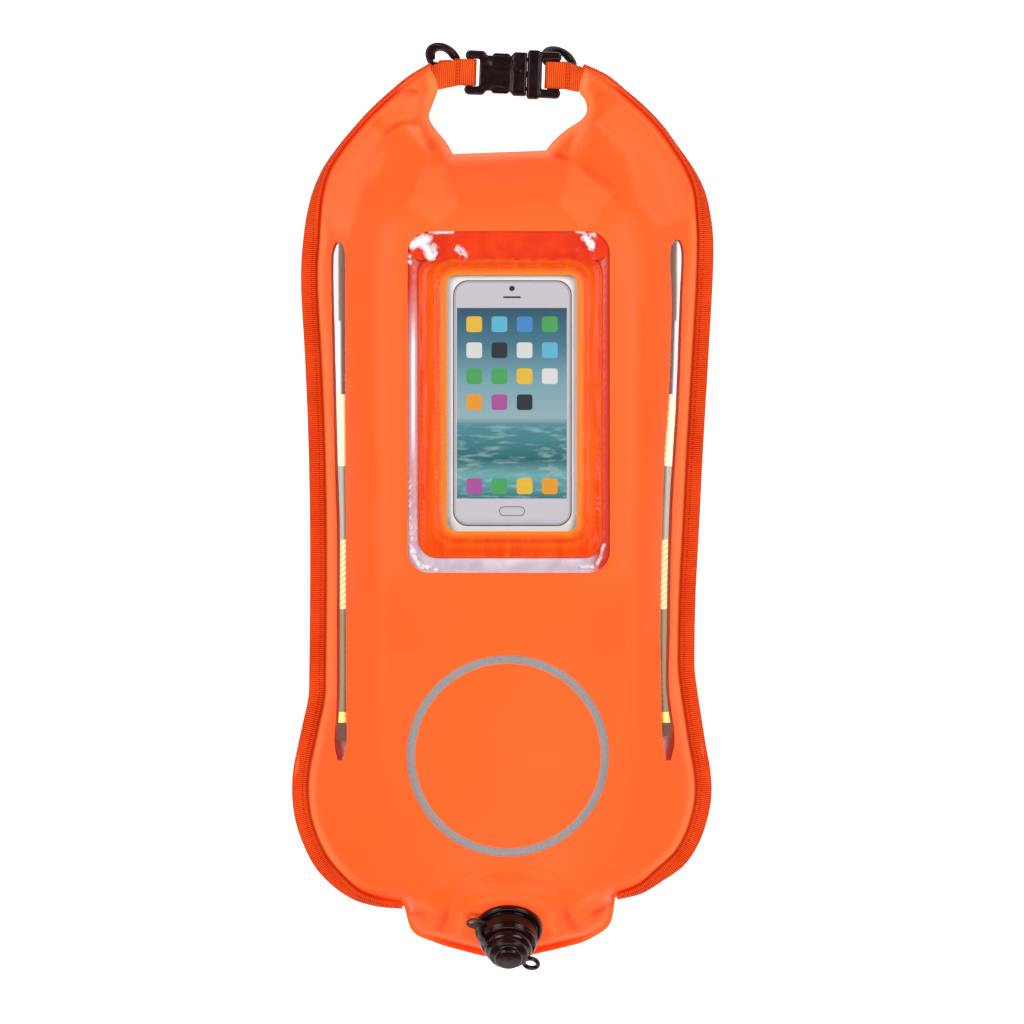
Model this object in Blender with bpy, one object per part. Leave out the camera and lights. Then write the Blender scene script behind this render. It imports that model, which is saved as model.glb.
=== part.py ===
"""Open water swim buoy: an inflatable dry bag that lies on its back.

X runs across the bag, Y from the valve to the carrying loop, and Z up from the ground, through
the back to the front. The origin is on the ground, under the flat patch that the back rests on.
"""

import math

import bmesh
import bpy
import numpy as np
from mathutils import Matrix, Vector, geometry
from mathutils.bvhtree import BVHTree

# Bag, in metres
BODY_LENGTH = 0.668         # foot of the bag to the tips of the horns
BODY_WIDTH = 0.315          # over the webbing, at the widest
ORIGIN_SHARE = 0.505        # of the length, from the foot
SEAM_HEIGHT = 0.058         # side seams above the ground
FRONT_RISE = 0.078          # crown of the front above the seams
BACK_DROP = 0.072           # how far the back would bulge with no ground under it
LINER_RISE = 0.038          # crown of the dry compartment, each way from the seams
FULLNESS_SHARE = 1.3        # 1 makes the bag's arch an ellipse, 2 a lens
FLAT_START_SHARE = 0.86     # of the seams' height, where the back starts to flatten
WALL = 0.0006               # coated fabric
LINER_WALL = 0.0005
WELD_WIDTH = 0.003          # seam round the foot
LIP_WIDTH = 0.0008          # folded edge of the hand gap
GAP = 0.0003                # between neighbouring pieces
SEAM_CLEARANCE = 0.0008     # from a webbing leaf's edge to where the bag starts to rise
PANEL_STEP = 0.021          # facets of the panels
EDGE_STEP = 0.019           # facets along the outline
LINER_STEP = 0.036
RIM_STEPS = (0.004, 0.010)  # rows of points that follow the seam
RIM_MARGIN = 0.007          # from the last of those rows to the inner points
MEMBRANE_STEP = 0.005
MEMBRANE_ROUNDS = 260
MEMBRANE_RELAX_SHARE = 1.94
MEMBRANE_EDGE_SHARE = 1.5   # of a step, within which the height is taken from further in
EDGE_ROUNDS = 4
FLOW_POINTS = 12            # between two rows of a table
RIM_FIT_SHARE = 0.8         # of a rim row's inset, that it keeps from every edge
CLEAR_SHARE = 0.7           # of the first rim row's inset, that inner points keep from an opening
TINY = 1e-9

# Webbing
WEBBING_WIDTH = 0.020
WEBBING_THICKNESS = 0.0013

# Outline, as shares of half the width and of the length from the foot.
# The third share is of a webbing leaf's width: 1 lies flat over the seam, 0 stands on edge.
LEFT_SHARES = (
    (-0.369, 1.000, 0.17), (-0.456, 0.988, 0.17), (-0.536, 0.973, 0.17), (-0.637, 0.952, 0.17),
    (-0.767, 0.918, 0.17), (-0.876, 0.883, 0.30), (-0.938, 0.847, 0.65), (-0.971, 0.802, 1.0),
    (-0.981, 0.752, 1.0), (-0.962, 0.668, 1.0), (-0.945, 0.568, 1.0), (-0.938, 0.445, 1.0),
    (-0.945, 0.297, 1.0), (-0.966, 0.270, 1.0), (-1.002, 0.230, 1.0), (-1.025, 0.193, 1.0),
    (-1.004, 0.149, 1.0), (-0.962, 0.123, 1.0), (-0.900, 0.097, 1.0), (-0.805, 0.076, 0.85),
    (-0.677, 0.060, 0.5), (-0.500, 0.055, 0.3),
)
FOOT_SHARES = (
    (-0.483, 0.039), (-0.441, 0.028), (-0.355, 0.019), (-0.180, 0.008), (0.000, 0.000),
    (0.175, 0.009), (0.341, 0.018), (0.441, 0.028), (0.497, 0.044),
)
RIGHT_SHARES = (
    (0.519, 0.065, 0.3), (0.644, 0.073, 0.5), (0.763, 0.091, 0.85), (0.853, 0.108, 1.0),
    (0.919, 0.136, 1.0), (0.957, 0.168, 1.0), (0.965, 0.199, 1.0), (0.933, 0.245, 1.0),
    (0.907, 0.286, 1.0), (0.886, 0.320, 1.0), (0.889, 0.400, 1.0), (0.907, 0.484, 1.0),
    (0.926, 0.573, 1.0), (0.952, 0.679, 1.0), (0.973, 0.774, 1.0), (0.966, 0.822, 0.9),
    (0.919, 0.866, 0.5), (0.829, 0.899, 0.2), (0.711, 0.937, 0.17), (0.587, 0.964, 0.17),
    (0.474, 0.986, 0.17), (0.360, 0.999, 0.17),
)
HAND_GAP_SHARES = (
    (0.336, 0.970), (0.365, 0.958), (0.374, 0.947), (0.351, 0.937), (0.275, 0.925), (0.218, 0.913),
    (0.180, 0.902), (-0.261, 0.898), (-0.294, 0.912), (-0.341, 0.925), (-0.374, 0.939),
    (-0.360, 0.951), (-0.341, 0.963), (-0.332, 0.975),
)

# Rolled mouth
ROLL_EDGE_SHARES = (
    (-0.66, 0.850), (-0.42, 0.833), (0.0, 0.832), (0.30, 0.834), (0.58, 0.850),
)
ROLL_EDGE_HALF = 0.0022     # half the roll's thickness at its edges
ROLL_CROWN = 0.0065         # how much fuller it is inside
ROLL_ROUND = 0.008          # how far in from its edges it fills out
ROLL_INSET = 0.0035
ROLL_STEP = 0.012
POCKET_INSET = 0.008        # of the stiffener's pocket, from the folded edge
POCKET_OVERRUN = 0.006      # past the roll's open edges
STIFFENER_SHARES = (
    (-0.488, 0.957), (-0.552, 0.931), (-0.512, 0.892), (-0.322, 0.866), (0.0, 0.865),
    (0.294, 0.867), (0.493, 0.895), (0.520, 0.932), (0.475, 0.959),
)
STIFFENER_HALF_WIDTH = 0.008
STIFFENER_THICKNESS = 0.0012

# Phone window and pouch
WINDOW_SIZE = (0.1494, 0.252)
WINDOW_X = 0.0006
WINDOW_SHARE = 0.61997      # its middle, up the bag's length
WINDOW_CORNER = 0.014
WINDOW_WELD = 0.006
WINDOW_THICKNESS = 0.0005
WINDOW_RISE_FOOT = 0.0735   # crown of the window above the seams at its foot
WINDOW_RISE_HEAD = 0.0665
WINDOW_FLAT_SHARE = 0.75    # how far the stiff pouch flattens the bag
WINDOW_BLEND = 0.045        # distance over which the bag gets its roundness back
WINDOW_EASE_SHARE = 0.67    # of the window's height, where the bag is flattened in full
FRAME_SIZE = (0.138, 0.2234)
FRAME_SHIFT = (0.0013, -0.0035)   # its middle, from the window's
FRAME_CORNER = 0.014
FRAME_THICKNESS = 0.0032
FRAME_DEPTH = 0.0012        # below the window film
FRAME_BORDERS = (0.0205, 0.01695)  # breadth of its sides and of its ends
PANE_SHIFT = (0.0011, 0.0028)     # from the frame's middle
PANE_CORNER = 0.006
PANE_WELD = 0.004
PANE_THICKNESS = 0.0004
CARD_MARGINS = (0.00335, 0.00375)  # inside the pane
CARD_CORNER = 0.009
CARD_THICKNESS = 0.0007
POCKET_DEPTH = 0.009        # for the phone, behind the card
POUCH_RIM = 0.006           # flat welded rim of the pouch's back
POUCH_WALL_RUN = 0.013      # from that rim to the pocket's full depth
POUCH_WALL = 0.0006
CORNER_STEP = 0.006
STRAIGHT_STEP = 0.022

# Side windows: shares of half the width, of the length, and of half the width for the half breadth
LEFT_SLOT_SHARES = (
    (-0.800, 0.798, 0.010), (-0.802, 0.771, 0.034), (-0.797, 0.646, 0.031), (-0.792, 0.552, 0.027),
    (-0.786, 0.480, 0.023), (-0.786, 0.400, 0.023), (-0.786, 0.288, 0.024), (-0.790, 0.244, 0.030),
    (-0.792, 0.222, 0.012),
)
RIGHT_SLOT_SHARES = (
    (0.800, 0.800, 0.010), (0.798, 0.777, 0.034), (0.797, 0.724, 0.026), (0.783, 0.623, 0.026),
    (0.766, 0.566, 0.028), (0.754, 0.510, 0.025), (0.746, 0.438, 0.024), (0.742, 0.365, 0.024),
    (0.742, 0.302, 0.020), (0.758, 0.249, 0.030), (0.758, 0.222, 0.012),
)
SLOT_STEP = 0.022
SLOT_WELD = 0.0025
FILM_THICKNESS = 0.0004
STRIP_THICKNESS = 0.0004
UNDER_GAP = 0.0007          # extra room between curved sheets
FILM_GAP = 0.0012           # from the panel's inner face to a window's film
PLATE_MARGIN = 0.0015       # from a plate's edge to its inner points

# Reflective ring on the front
RING_SHARE = 0.22865        # its middle, up the bag's length
RING_RADIUS = 0.0745
RING_BREADTH = 0.006
RING_THICKNESS = 0.0003
RING_GAP = 0.0005
RING_POINTS = 40

# Valve
VALVE_X = 0.0004
VALVE_FROM_FOOT = 0.02474
VALVE_RISE = 0.0345         # middle of the valve's seat above the seams
VALVE_TILT = math.radians(45)
VALVE_SIDES = 32
SEAT_FLAT_SHARE = 1.12      # of the flange's radius, where the bag is flat under it
SEAT_BLEND_SHARE = 0.75     # and over which it gets its roundness back
SEAT_FOOT_BLEND = 0.004     # from the seam to the seat, at the bag's foot
SEAT_CLEAR = 0.0015         # from the seam to the seat's nearest points
SEAT_ZONE_SHARE = 0.2       # of the flange's radius, beyond the seat's outer ring of points
FLANGE_RADIUS = 0.025
FLANGE_THICKNESS = 0.0026
FLANGE_LIP = 0.0012         # rounded rim, and seat for the leash, higher than the flange
FLANGE_LIP_BREADTH = 0.003
SHOULDER_RADIUS = 0.0205
NECK_RADIUS = 0.0155
NECK_HEIGHT = 0.0095        # above the flange
NECK_INSIDE = 0.0060        # below the panel, inside the bag
THROAT_RADIUS = 0.0115
PANEL_HOLE_RADIUS = 0.0165
LEASH_THICKNESS = 0.0018
LEASH_RING_BREADTH = 0.0045
LEASH_WIDTH = 0.0050
LEASH_EAR_CENTRE = 0.0268   # middle of the ear, from the valve's axis
LEASH_EAR_RADIUS = 0.0050
LEASH_HOLE_RADIUS = 0.0012
LEASH_ANGLE = math.radians(174)
COLLAR_RADIUS = 0.0215
COLLAR_FLOOR = 0.0026       # thickness over the neck
COLLAR_STEP = 0.0010
SPOUT_RADIUS = 0.0122
SPOUT_HEIGHT = 0.0080
SPOUT_BORE = 0.0085
BRIDGE_THICKNESS = 0.0016   # crossed bars that carry the diaphragm
BRIDGE_BREADTH = 0.0030
HUB_RADIUS = 0.0040
HUB_BORE = 0.0020
SEAL_HALF = 0.0011          # half the sealing ring's thickness
SEAL_RADIUS = 0.0136
SEAL_SIDES = 8
DIAPHRAGM_RADIUS = 0.0100
DIAPHRAGM_THICKNESS = 0.0010
DIAPHRAGM_STEM = 0.0016     # radius
DIAPHRAGM_HEAD = 0.0028
DIAPHRAGM_HEAD_HEIGHT = 0.0012
DIAPHRAGM_LIFT = 0.0012
CAP_RADIUS = 0.0172
CAP_TOP = 0.0022
KNOB_RADIUS = 0.0104
KNOB_HEIGHT = 0.0045
CAP_LOOP_RADIUS = 0.0046    # middle of the pull loop's rod
CAP_LOOP_ROD = 0.0014
CAP_LOOP_ANGLE = math.radians(-40)
CAP_LOOP_POINTS = 16

# Buckle, in its own frame: x the way the male half pulls out, y across, z up
LOOP_SHARE = 0.98689        # middle of the carrying loop, up the bag's length
BUCKLE_X = 0.0142           # middle of the joint face between the halves
BUCKLE_TURN = math.radians(-2.1)
BUCKLE_HALF_THICKNESS = 0.0052
BUCKLE_GAP = 0.0004
COLLAR_LENGTH = 0.0098      # wide mouth of the female half
HOUSING_LENGTH = 0.0350
HOUSING_HALF_WIDTH = 0.0160
HOUSING_WAIST = 0.0128      # half width beside the press pads
HOUSING_SLOPE = 0.0025
HOUSING_PLATE = 0.0021
HOUSING_BACK_WALL = 0.0050
GUIDE_Y = 0.0036
GUIDE_HALF_THICKNESS = 0.0007
TONGUE_HALF_WIDTH = 0.0022
TONGUE_HALF_THICKNESS = 0.0024
TONGUE_LENGTH = 0.0240
BAR_SLOT = 0.0044           # room for the strap between a half and its end bar
FEMALE_BAR = 0.0058
MALE_BAR = 0.0092
BAR_HALF_HEIGHT = 0.0014
BAR_ARM = 0.0030            # side arms that carry the end bar
MALE_BASE_LENGTH = 0.0109
MALE_HALF_WIDTH = 0.0168
HINGE_X = 0.0037
HINGE_Y = 0.0108
PRONG_TRAVEL = math.radians(6)
PRONG_ROOT = 0.0026         # radius of a prong's root, in its pocket
PRONG_NECK = 0.0014         # half the breadth of its arm
PRONG_LENGTH = 0.0300
PRONG_PAD_START = 0.0165
PRONG_PAD_OUT = 0.0042      # outer face of the press pad, from the hinge
PRONG_HALF_HEIGHT = 0.0027
PRONG_CHAMFER = 0.0016
ROOT_POINTS = 13
THUMB_CENTRE = (-0.0195, 0.0076)
THUMB_SIZE = (0.0172, 0.0112)
THUMB_DEPTH = 0.0007
THUMB_SIDES = 24
OVERRUN = 0.002             # of every cutter past what it cuts
SOFT_EDGE = 0.0008
SOFT_SEGMENTS = 2

# Handle straps
STRAP_LAYER = 0.00085       # middle of each of a strap's two layers, from its middle plane
STRAP_OVER_BAR = 0.0004     # clearance round an end bar
STRAP_TURN_SHIFT = 0.0010   # middle of its turn, in from the bar's edge
STRAP_SLOPE = 0.0040        # from the bar's height to the strap's own
STRAP_RETURN = 0.0085       # of the folded end, past the bar
STRAP_TURN_POINTS = 7
STRAP_TUCK = 0.0050         # of its end, in the rolled mouth's pocket
STRAP_TIP_SHARES = (0.68, 0.92)   # of its width, at that end and at the horn's tip
STRAP_FREE = 0.0030         # from the tip to its full width
LEFT_STRAP_END = (-0.0552, -0.0016)   # from the loop's middle
RIGHT_STRAP_END = (0.0548, -0.0034)

# D-rings
RING_ROD = 0.0021           # radius of the ring's rod
D_HALF_BAR = 0.0118
D_DEPTH = 0.0195
D_CORNER = 0.0045
D_CORNER_POINTS = 4
D_BOW_POINTS = 13
D_BOW_SHARE = 0.85          # 1 makes the bow half an ellipse, less makes it squarer
D_SIDES = 8
D_LEAN = math.radians(45)   # of the bow, from level
D_YAW = math.radians(25)    # of the bar, out of the bag's plane
LEFT_RING = (-0.0466, 0.0081)   # middle of its bar, from the loop's middle
RIGHT_RING = (0.0399, 0.0069)
D_BELOW_STRAP = 0.0130
TAB_WIDTH = 0.010
TAB_THICKNESS = 0.0011
TAB_SEWN = 0.0095           # of its end, flat under the strap
TAB_BEND = 0.0015
TAB_WRAP = math.radians(265)
TAB_POINTS = 10


# Plane outlines

def place(share_x, share_y):
    """A share of the bag's half width and of its length, as a place in metres."""
    return share_x * BODY_WIDTH / 2, (share_y - ORIGIN_SHARE) * BODY_LENGTH


def flowing(rows, step):
    """A smooth curve through rows of numbers, whose first two are x and y, with a point every step."""
    rows = np.array(rows, float)
    padded = np.vstack([2 * rows[0] - rows[1], rows, 2 * rows[-1] - rows[-2]])
    fine = []
    for i in range(1, len(padded) - 2):
        before, start, end, after = padded[i - 1:i + 3]
        for t in np.linspace(0, 1, FLOW_POINTS, endpoint=False):
            fine.append(0.5 * (2 * start + (end - before) * t
                               + (2 * before - 5 * start + 4 * end - after) * t ** 2
                               + (3 * start - before - 3 * end + after) * t ** 3))
    fine = np.array(fine + [rows[-1]])
    along = np.concatenate([[0], np.cumsum(np.linalg.norm(np.diff(fine[:, :2], axis=0), axis=1))])
    count = max(2, round(along[-1] / step))
    wanted = np.linspace(0, along[-1], count + 1)
    return np.stack([np.interp(wanted, along, column) for column in fine.T], axis=1)


def inward(loop):
    """Unit vectors that point into a closed loop that runs counter-clockwise."""
    ahead = np.roll(loop, -1, axis=0) - loop
    ahead /= np.linalg.norm(ahead, axis=1)[:, None] + TINY
    run = ahead + np.roll(ahead, 1, axis=0)
    run /= np.linalg.norm(run, axis=1)[:, None] + TINY
    return np.stack([-run[:, 1], run[:, 0]], axis=1)


def inset(loop, distances):
    return loop + inward(loop) * np.broadcast_to(distances, len(loop))[:, None]


def contains(loop, points):
    """Which points lie inside a closed loop."""
    points = np.asarray(points, float)
    result = np.zeros(len(points), bool)
    for (x0, y0), (x1, y1) in zip(loop, np.roll(loop, -1, axis=0)):
        crosses = (y0 > points[:, 1]) != (y1 > points[:, 1])
        at = x0 + (points[:, 1] - y0) * (x1 - x0) / (y1 - y0 if y1 != y0 else TINY)
        result ^= crosses & (points[:, 0] < at)
    return result


def edge_distance(loop, points):
    """How far each point lies from a closed loop."""
    points = np.asarray(points, float)
    nearest = np.full(len(points), np.inf)
    for start, end in zip(loop, np.roll(loop, -1, axis=0)):
        run = end - start
        share = np.clip(((points - start) @ run) / (run @ run + TINY ** 2), 0, 1)
        away = points - (start + share[:, None] * run)
        nearest = np.minimum(nearest, np.hypot(away[:, 0], away[:, 1]))
    return nearest


def rounded_rectangle(centre, size, corner):
    """A counter-clockwise loop with arcs at its corners and points along its straight sides."""
    half_x = size[0] / 2 - corner
    half_y = size[1] / 2 - corner
    steps = max(2, round(corner * math.pi / 2 / CORNER_STEP))
    loop = []
    for quarter, (sx, sy) in enumerate(((1, 1), (-1, 1), (-1, -1), (1, -1))):
        arc = [(centre[0] + sx * half_x + corner * math.cos(a), centre[1] + sy * half_y + corner * math.sin(a))
               for a in (math.pi / 2 * (quarter + i / steps) for i in range(steps + 1))]
        if loop:
            loop += straight(loop[-1], arc[0])
        loop += arc
    return np.array(loop + straight(loop[-1], loop[0]))


def straight(start, end):
    """Points between two ends, a step apart, without the ends."""
    count = max(1, round(math.dist(start, end) / STRAIGHT_STEP))
    return [tuple(np.array(start) + (np.array(end) - np.array(start)) * i / count) for i in range(1, count)]


def circle(centre, radius, count, squash=1.0):
    turns = np.arange(count) * 2 * math.pi / count
    return np.stack([centre[0] + radius * np.cos(turns), centre[1] + squash * radius * np.sin(turns)], axis=1)


def band(rows, widen=0.0):
    """A counter-clockwise loop round a centre line whose rows hold x, y and the half breadth."""
    rows = np.asarray(rows, float)
    run = np.gradient(rows[:, :2], axis=0)
    run /= np.linalg.norm(run, axis=1)[:, None]
    side = np.stack([-run[:, 1], run[:, 0]], axis=1) * (rows[:, 2:3] + widen)
    end = run * widen
    middle = rows[:, :2].copy()
    middle[0] -= end[0]
    middle[-1] += end[-1]
    return np.vstack([middle - side, (middle + side)[::-1]])


# Inflation

def inflate(loop):
    """The height that a skin over a loop takes under pressure: over a long strip it is a half circle."""
    low = loop.min(axis=0) - MEMBRANE_STEP
    counts = np.ceil((loop.max(axis=0) - low) / MEMBRANE_STEP).astype(int) + 2
    xs = low[0] + np.arange(counts[0]) * MEMBRANE_STEP
    ys = low[1] + np.arange(counts[1]) * MEMBRANE_STEP
    places = np.stack(np.meshgrid(xs, ys, indexing="ij"), axis=-1).reshape(-1, 2)
    inside = contains(loop, places).reshape(counts)
    distance = edge_distance(loop, places).reshape(counts)
    colour = np.indices(counts).sum(axis=0) % 2
    level = np.zeros(counts)
    for _ in range(MEMBRANE_ROUNDS):
        for parity in (0, 1):
            around = sum(np.roll(level, way, axis) for way in (1, -1) for axis in (0, 1))
            cells = inside & (colour == parity)
            wanted = (around[cells] + MEMBRANE_STEP ** 2) / 4
            level[cells] += MEMBRANE_RELAX_SHARE * (wanted - level[cells])
    # Near the edge the height goes as the root of the distance, so their ratio is what gets interpolated
    known = inside & (distance > MEMBRANE_EDGE_SHARE * MEMBRANE_STEP)
    ratio = np.where(known, level / (distance + TINY), 0.0)
    for _ in range(EDGE_ROUNDS):
        count = sum(np.roll(known, way, axis).astype(float) for way in (1, -1) for axis in (0, 1))
        total = sum(np.roll(ratio, way, axis) for way in (1, -1) for axis in (0, 1))
        fresh = ~known & (count > 0)
        ratio[fresh] = total[fresh] / count[fresh]
        known = known | fresh

    def height(points):
        points = np.asarray(points, float)
        spot = (points - low) / MEMBRANE_STEP
        cell = np.clip(spot.astype(int), 0, counts - 2)
        part = spot - cell
        value = 0.0
        for dx in (0, 1):
            for dy in (0, 1):
                weight = np.abs(1 - dx - part[:, 0]) * np.abs(1 - dy - part[:, 1])
                value = value + weight * ratio[cell[:, 0] + dx, cell[:, 1] + dy]
        within = contains(loop, points)
        return np.where(within, np.sqrt(np.maximum(2 * value * edge_distance(loop, points), 0)), 0.0)

    crown = math.sqrt(2 * level.max())
    return lambda points: (height(points) / crown) ** FULLNESS_SHARE


def smooth(value):
    value = np.clip(value, 0, 1)
    return value * value * (3 - 2 * value)


# Meshes

def new_object(name, points, faces, material):
    mesh = bpy.data.meshes.new(name)
    mesh.from_pydata([tuple(p) for p in points], [], [tuple(int(i) for i in f) for f in faces])
    mesh.validate()
    mesh.materials.append(material)
    made = bpy.data.objects.new(name, mesh)
    bpy.context.scene.collection.objects.link(made)
    return made


def soften(made, angle=math.radians(35)):
    """Shades a round piece smooth."""
    made.data.shade_smooth()
    made.data.set_sharp_from_angle(angle=angle)
    return made


def triangulate(loops, extra, holes=()):
    """Triangles of the first loop, along every loop, without the holes. Also says which are in a hole."""
    verts = []
    edges = []
    for loop in list(loops) + list(holes):
        first = len(verts)
        verts += [Vector(p[:2]) for p in loop]
        edges += [(first + i, first + (i + 1) % len(loop)) for i in range(len(loop))]
    verts += [Vector(p) for p in extra]
    points, _, faces = geometry.delaunay_2d_cdt(verts, edges, [], 0, TINY)[:3]
    points = np.array([tuple(p) for p in points])
    faces = np.array([f for f in faces])
    a, b, c = (points[faces[:, i]] for i in range(3))
    turned = (b[:, 0] - a[:, 0]) * (c[:, 1] - a[:, 1]) - (b[:, 1] - a[:, 1]) * (c[:, 0] - a[:, 0]) < 0
    faces[turned] = faces[turned][:, ::-1]
    middle = (a + b + c) / 3
    faces = faces[contains(loops[0], middle)]
    middle = points[faces].mean(axis=1)
    open_here = np.zeros(len(faces), bool)
    for hole in holes:
        open_here |= contains(hole, middle)
    return points, faces, open_here


def lattice(loop, step, margin):
    """Points of a triangular grid inside a loop. The grid is the same for every loop."""
    low, high = loop.min(axis=0), loop.max(axis=0)
    row_step = step * math.sqrt(3) / 2
    rows = range(math.floor(low[1] / row_step), math.ceil(high[1] / row_step) + 1)
    points = []
    for row in rows:
        shift = (row % 2) * step / 2
        for column in range(math.floor(low[0] / step) - 1, math.ceil(high[0] / step) + 1):
            points.append((column * step + shift, row * row_step))
    points = np.array(points)
    return points[contains(loop, points) & (edge_distance(loop, points) > margin)]


def vertex_normals(points, faces):
    a, b, c = (points[faces[:, i]] for i in range(3))
    face_normals = np.cross(b - a, c - a)
    normals = np.zeros_like(points)
    for corner in range(3):
        np.add.at(normals, faces[:, corner], face_normals)
    return normals / (np.linalg.norm(normals, axis=1)[:, None] + TINY ** 2)


def closed_skin(name, outer, inner, faces, material):
    """One closed body between an outer and an inner sheet that share their triangles."""
    used = np.unique(faces)
    index = np.full(len(outer), -1)
    index[used] = np.arange(len(used))
    faces = index[faces]
    count = len(used)
    edges = {(int(f[i]), int(f[(i + 1) % 3])) for f in faces for i in range(3)}
    walls = [(b, a, a + count, b + count) for a, b in sorted(edges) if (b, a) not in edges]
    points = np.vstack([outer[used], inner[used]])
    return new_object(name, points, list(faces) + list(faces[:, ::-1] + count) + walls, material)


def sweep(name, sections, material, closed=False):
    """One closed body through like rings of points, capped at its ends unless it closes on itself."""
    sections = [list(s) for s in sections]
    sides = len(sections[0])
    points = [p for s in sections for p in s]
    spans = len(sections) if closed else len(sections) - 1
    faces = []
    for i in range(spans):
        j = (i + 1) % len(sections)
        for k in range(sides):
            m = (k + 1) % sides
            faces.append((i * sides + k, i * sides + m, j * sides + m, j * sides + k))
    if not closed:
        faces.append(tuple(reversed(range(sides))))
        faces.append(tuple(range(len(points) - sides, len(points))))
    made = new_object(name, points, faces, material)
    face_out(made)
    return made


def face_out(made):
    mesh = bmesh.new()
    mesh.from_mesh(made.data)
    bmesh.ops.recalc_face_normals(mesh, faces=mesh.faces)
    mesh.to_mesh(made.data)
    mesh.free()


def prism(name, loop, low, high, material):
    loop = [tuple(p) for p in loop]
    bottom = [(x, y, low) for x, y in loop]
    top = [(x, y, high) for x, y in loop]
    return sweep(name, [bottom, top], material)


def box(name, low, high, material):
    corners = ((low[0], low[1]), (high[0], low[1]), (high[0], high[1]), (low[0], high[1]))
    return prism(name, corners, low[2], high[2], material)


def turned(name, profile, material, sides=VALVE_SIDES):
    """A ring of revolution about Z, from the closed outline of its section as radius and height."""
    sections = []
    for i in range(sides):
        angle = 2 * math.pi * i / sides
        sections.append([(r * math.cos(angle), r * math.sin(angle), z) for r, z in profile])
    return soften(sweep(name, sections, material, closed=True))


def turned_solid(name, profile, material, sides=VALVE_SIDES):
    """A solid of revolution about Z, from the outer side of its section, bottom to top."""
    rings = [[(r * math.cos(2 * math.pi * i / sides), r * math.sin(2 * math.pi * i / sides), z)
              for i in range(sides)] for r, z in profile]
    return soften(sweep(name, rings, material))


def combine(made, other, operation):
    """Joins another solid to one, or cuts it away, and leaves the other out of the model."""
    modifier = made.modifiers.new(other.name, "BOOLEAN")
    modifier.operation = operation
    modifier.object = other
    other.hide_render = True
    other.display_type = "WIRE"


def bevel(made, width=SOFT_EDGE):
    modifier = made.modifiers.new("soft_edges", "BEVEL")
    modifier.width = width
    modifier.segments = SOFT_SEGMENTS
    modifier.limit_method = "ANGLE"


def tube_ring(name, path, normal, radius, material, sides=D_SIDES):
    """A rod of one radius that follows a closed flat path."""
    path = [Vector(p) for p in path]
    sections = []
    for i, point in enumerate(path):
        run = (path[(i + 1) % len(path)] - path[i - 1]).normalized()
        side = run.cross(normal)
        sections.append([point + radius * (math.cos(2 * math.pi * k / sides) * side
                                           + math.sin(2 * math.pi * k / sides) * normal)
                         for k in range(sides)])
    return soften(sweep(name, sections, material, closed=True))


def ribbon(name, rows, width, thickness, material):
    """A strap along rows of a point, the way it is wide, as a share of its width, and the way it faces."""
    sections = []
    for point, wide, face in rows:
        point, wide, face = Vector(point), Vector(wide), Vector(face).normalized()
        sections.append([point + wide * (a * width / 2) + face * (b * thickness / 2)
                         for a, b in ((-1, -1), (1, -1), (1, 1), (-1, 1))])
    return sweep(name, sections, material)


# Materials

def finish(name, colour, roughness, metallic=0.0, transmission=0.0):
    material = bpy.data.materials.new(name)
    material.use_nodes = True
    shader = next(n for n in material.node_tree.nodes if n.type == "BSDF_PRINCIPLED")
    shader.inputs["Base Color"].default_value = (*colour, 1.0)
    shader.inputs["Roughness"].default_value = roughness
    shader.inputs["Metallic"].default_value = metallic
    shader.inputs["Transmission Weight"].default_value = transmission
    return material


for leftover in list(bpy.data.objects):
    bpy.data.objects.remove(leftover, do_unlink=True)

bag_fabric = finish("bag_fabric", (1.0, 0.14, 0.035), 0.5)
liner_fabric = finish("liner_fabric", (0.55, 0.56, 0.58), 0.6)
webbing = finish("webbing", (0.75, 0.08, 0.015), 0.75)
buckle_plastic = finish("buckle_plastic", (0.018, 0.012, 0.013), 0.3)
clear_film = finish("clear_film", (0.95, 0.95, 0.97), 0.08, transmission=0.9)
pouch_vinyl = finish("pouch_vinyl", (1.0, 0.11, 0.01), 0.22)
printed_card = finish("printed_card", (0.8, 0.85, 0.86), 0.5)
reflective_tape = finish("reflective_tape", (0.62, 0.55, 0.38), 0.35, metallic=0.4)
reflective_print = finish("reflective_print", (0.36, 0.34, 0.34), 0.5)
stiff_strip = finish("stiff_strip", (0.8, 0.8, 0.78), 0.45)
valve_plastic = finish("valve_plastic", (0.016, 0.010, 0.012), 0.25)
valve_rubber = finish("valve_rubber", (0.03, 0.03, 0.03), 0.6)


# The outline of the bag over its webbing, and what lies inside it

FABRIC_INSET = WEBBING_THICKNESS + GAP
CORNER_SHARE = 1.5          # more inset where the outline turns a corner
LEAF = WEBBING_WIDTH / 2

left_rows = flowing([(*place(x, y), leaf) for x, y, leaf in LEFT_SHARES], EDGE_STEP)
right_rows = flowing([(*place(x, y), leaf) for x, y, leaf in RIGHT_SHARES], EDGE_STEP)
foot_points = flowing([place(x, y) for x, y in
                       (LEFT_SHARES[-1][:2], *FOOT_SHARES, RIGHT_SHARES[0][:2])], EDGE_STEP)[1:-1]
gap_points = np.array([place(x, y) for x, y in HAND_GAP_SHARES])
roll_edge = flowing([place(x, y) for x, y in ROLL_EDGE_SHARES], EDGE_STEP)

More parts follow.
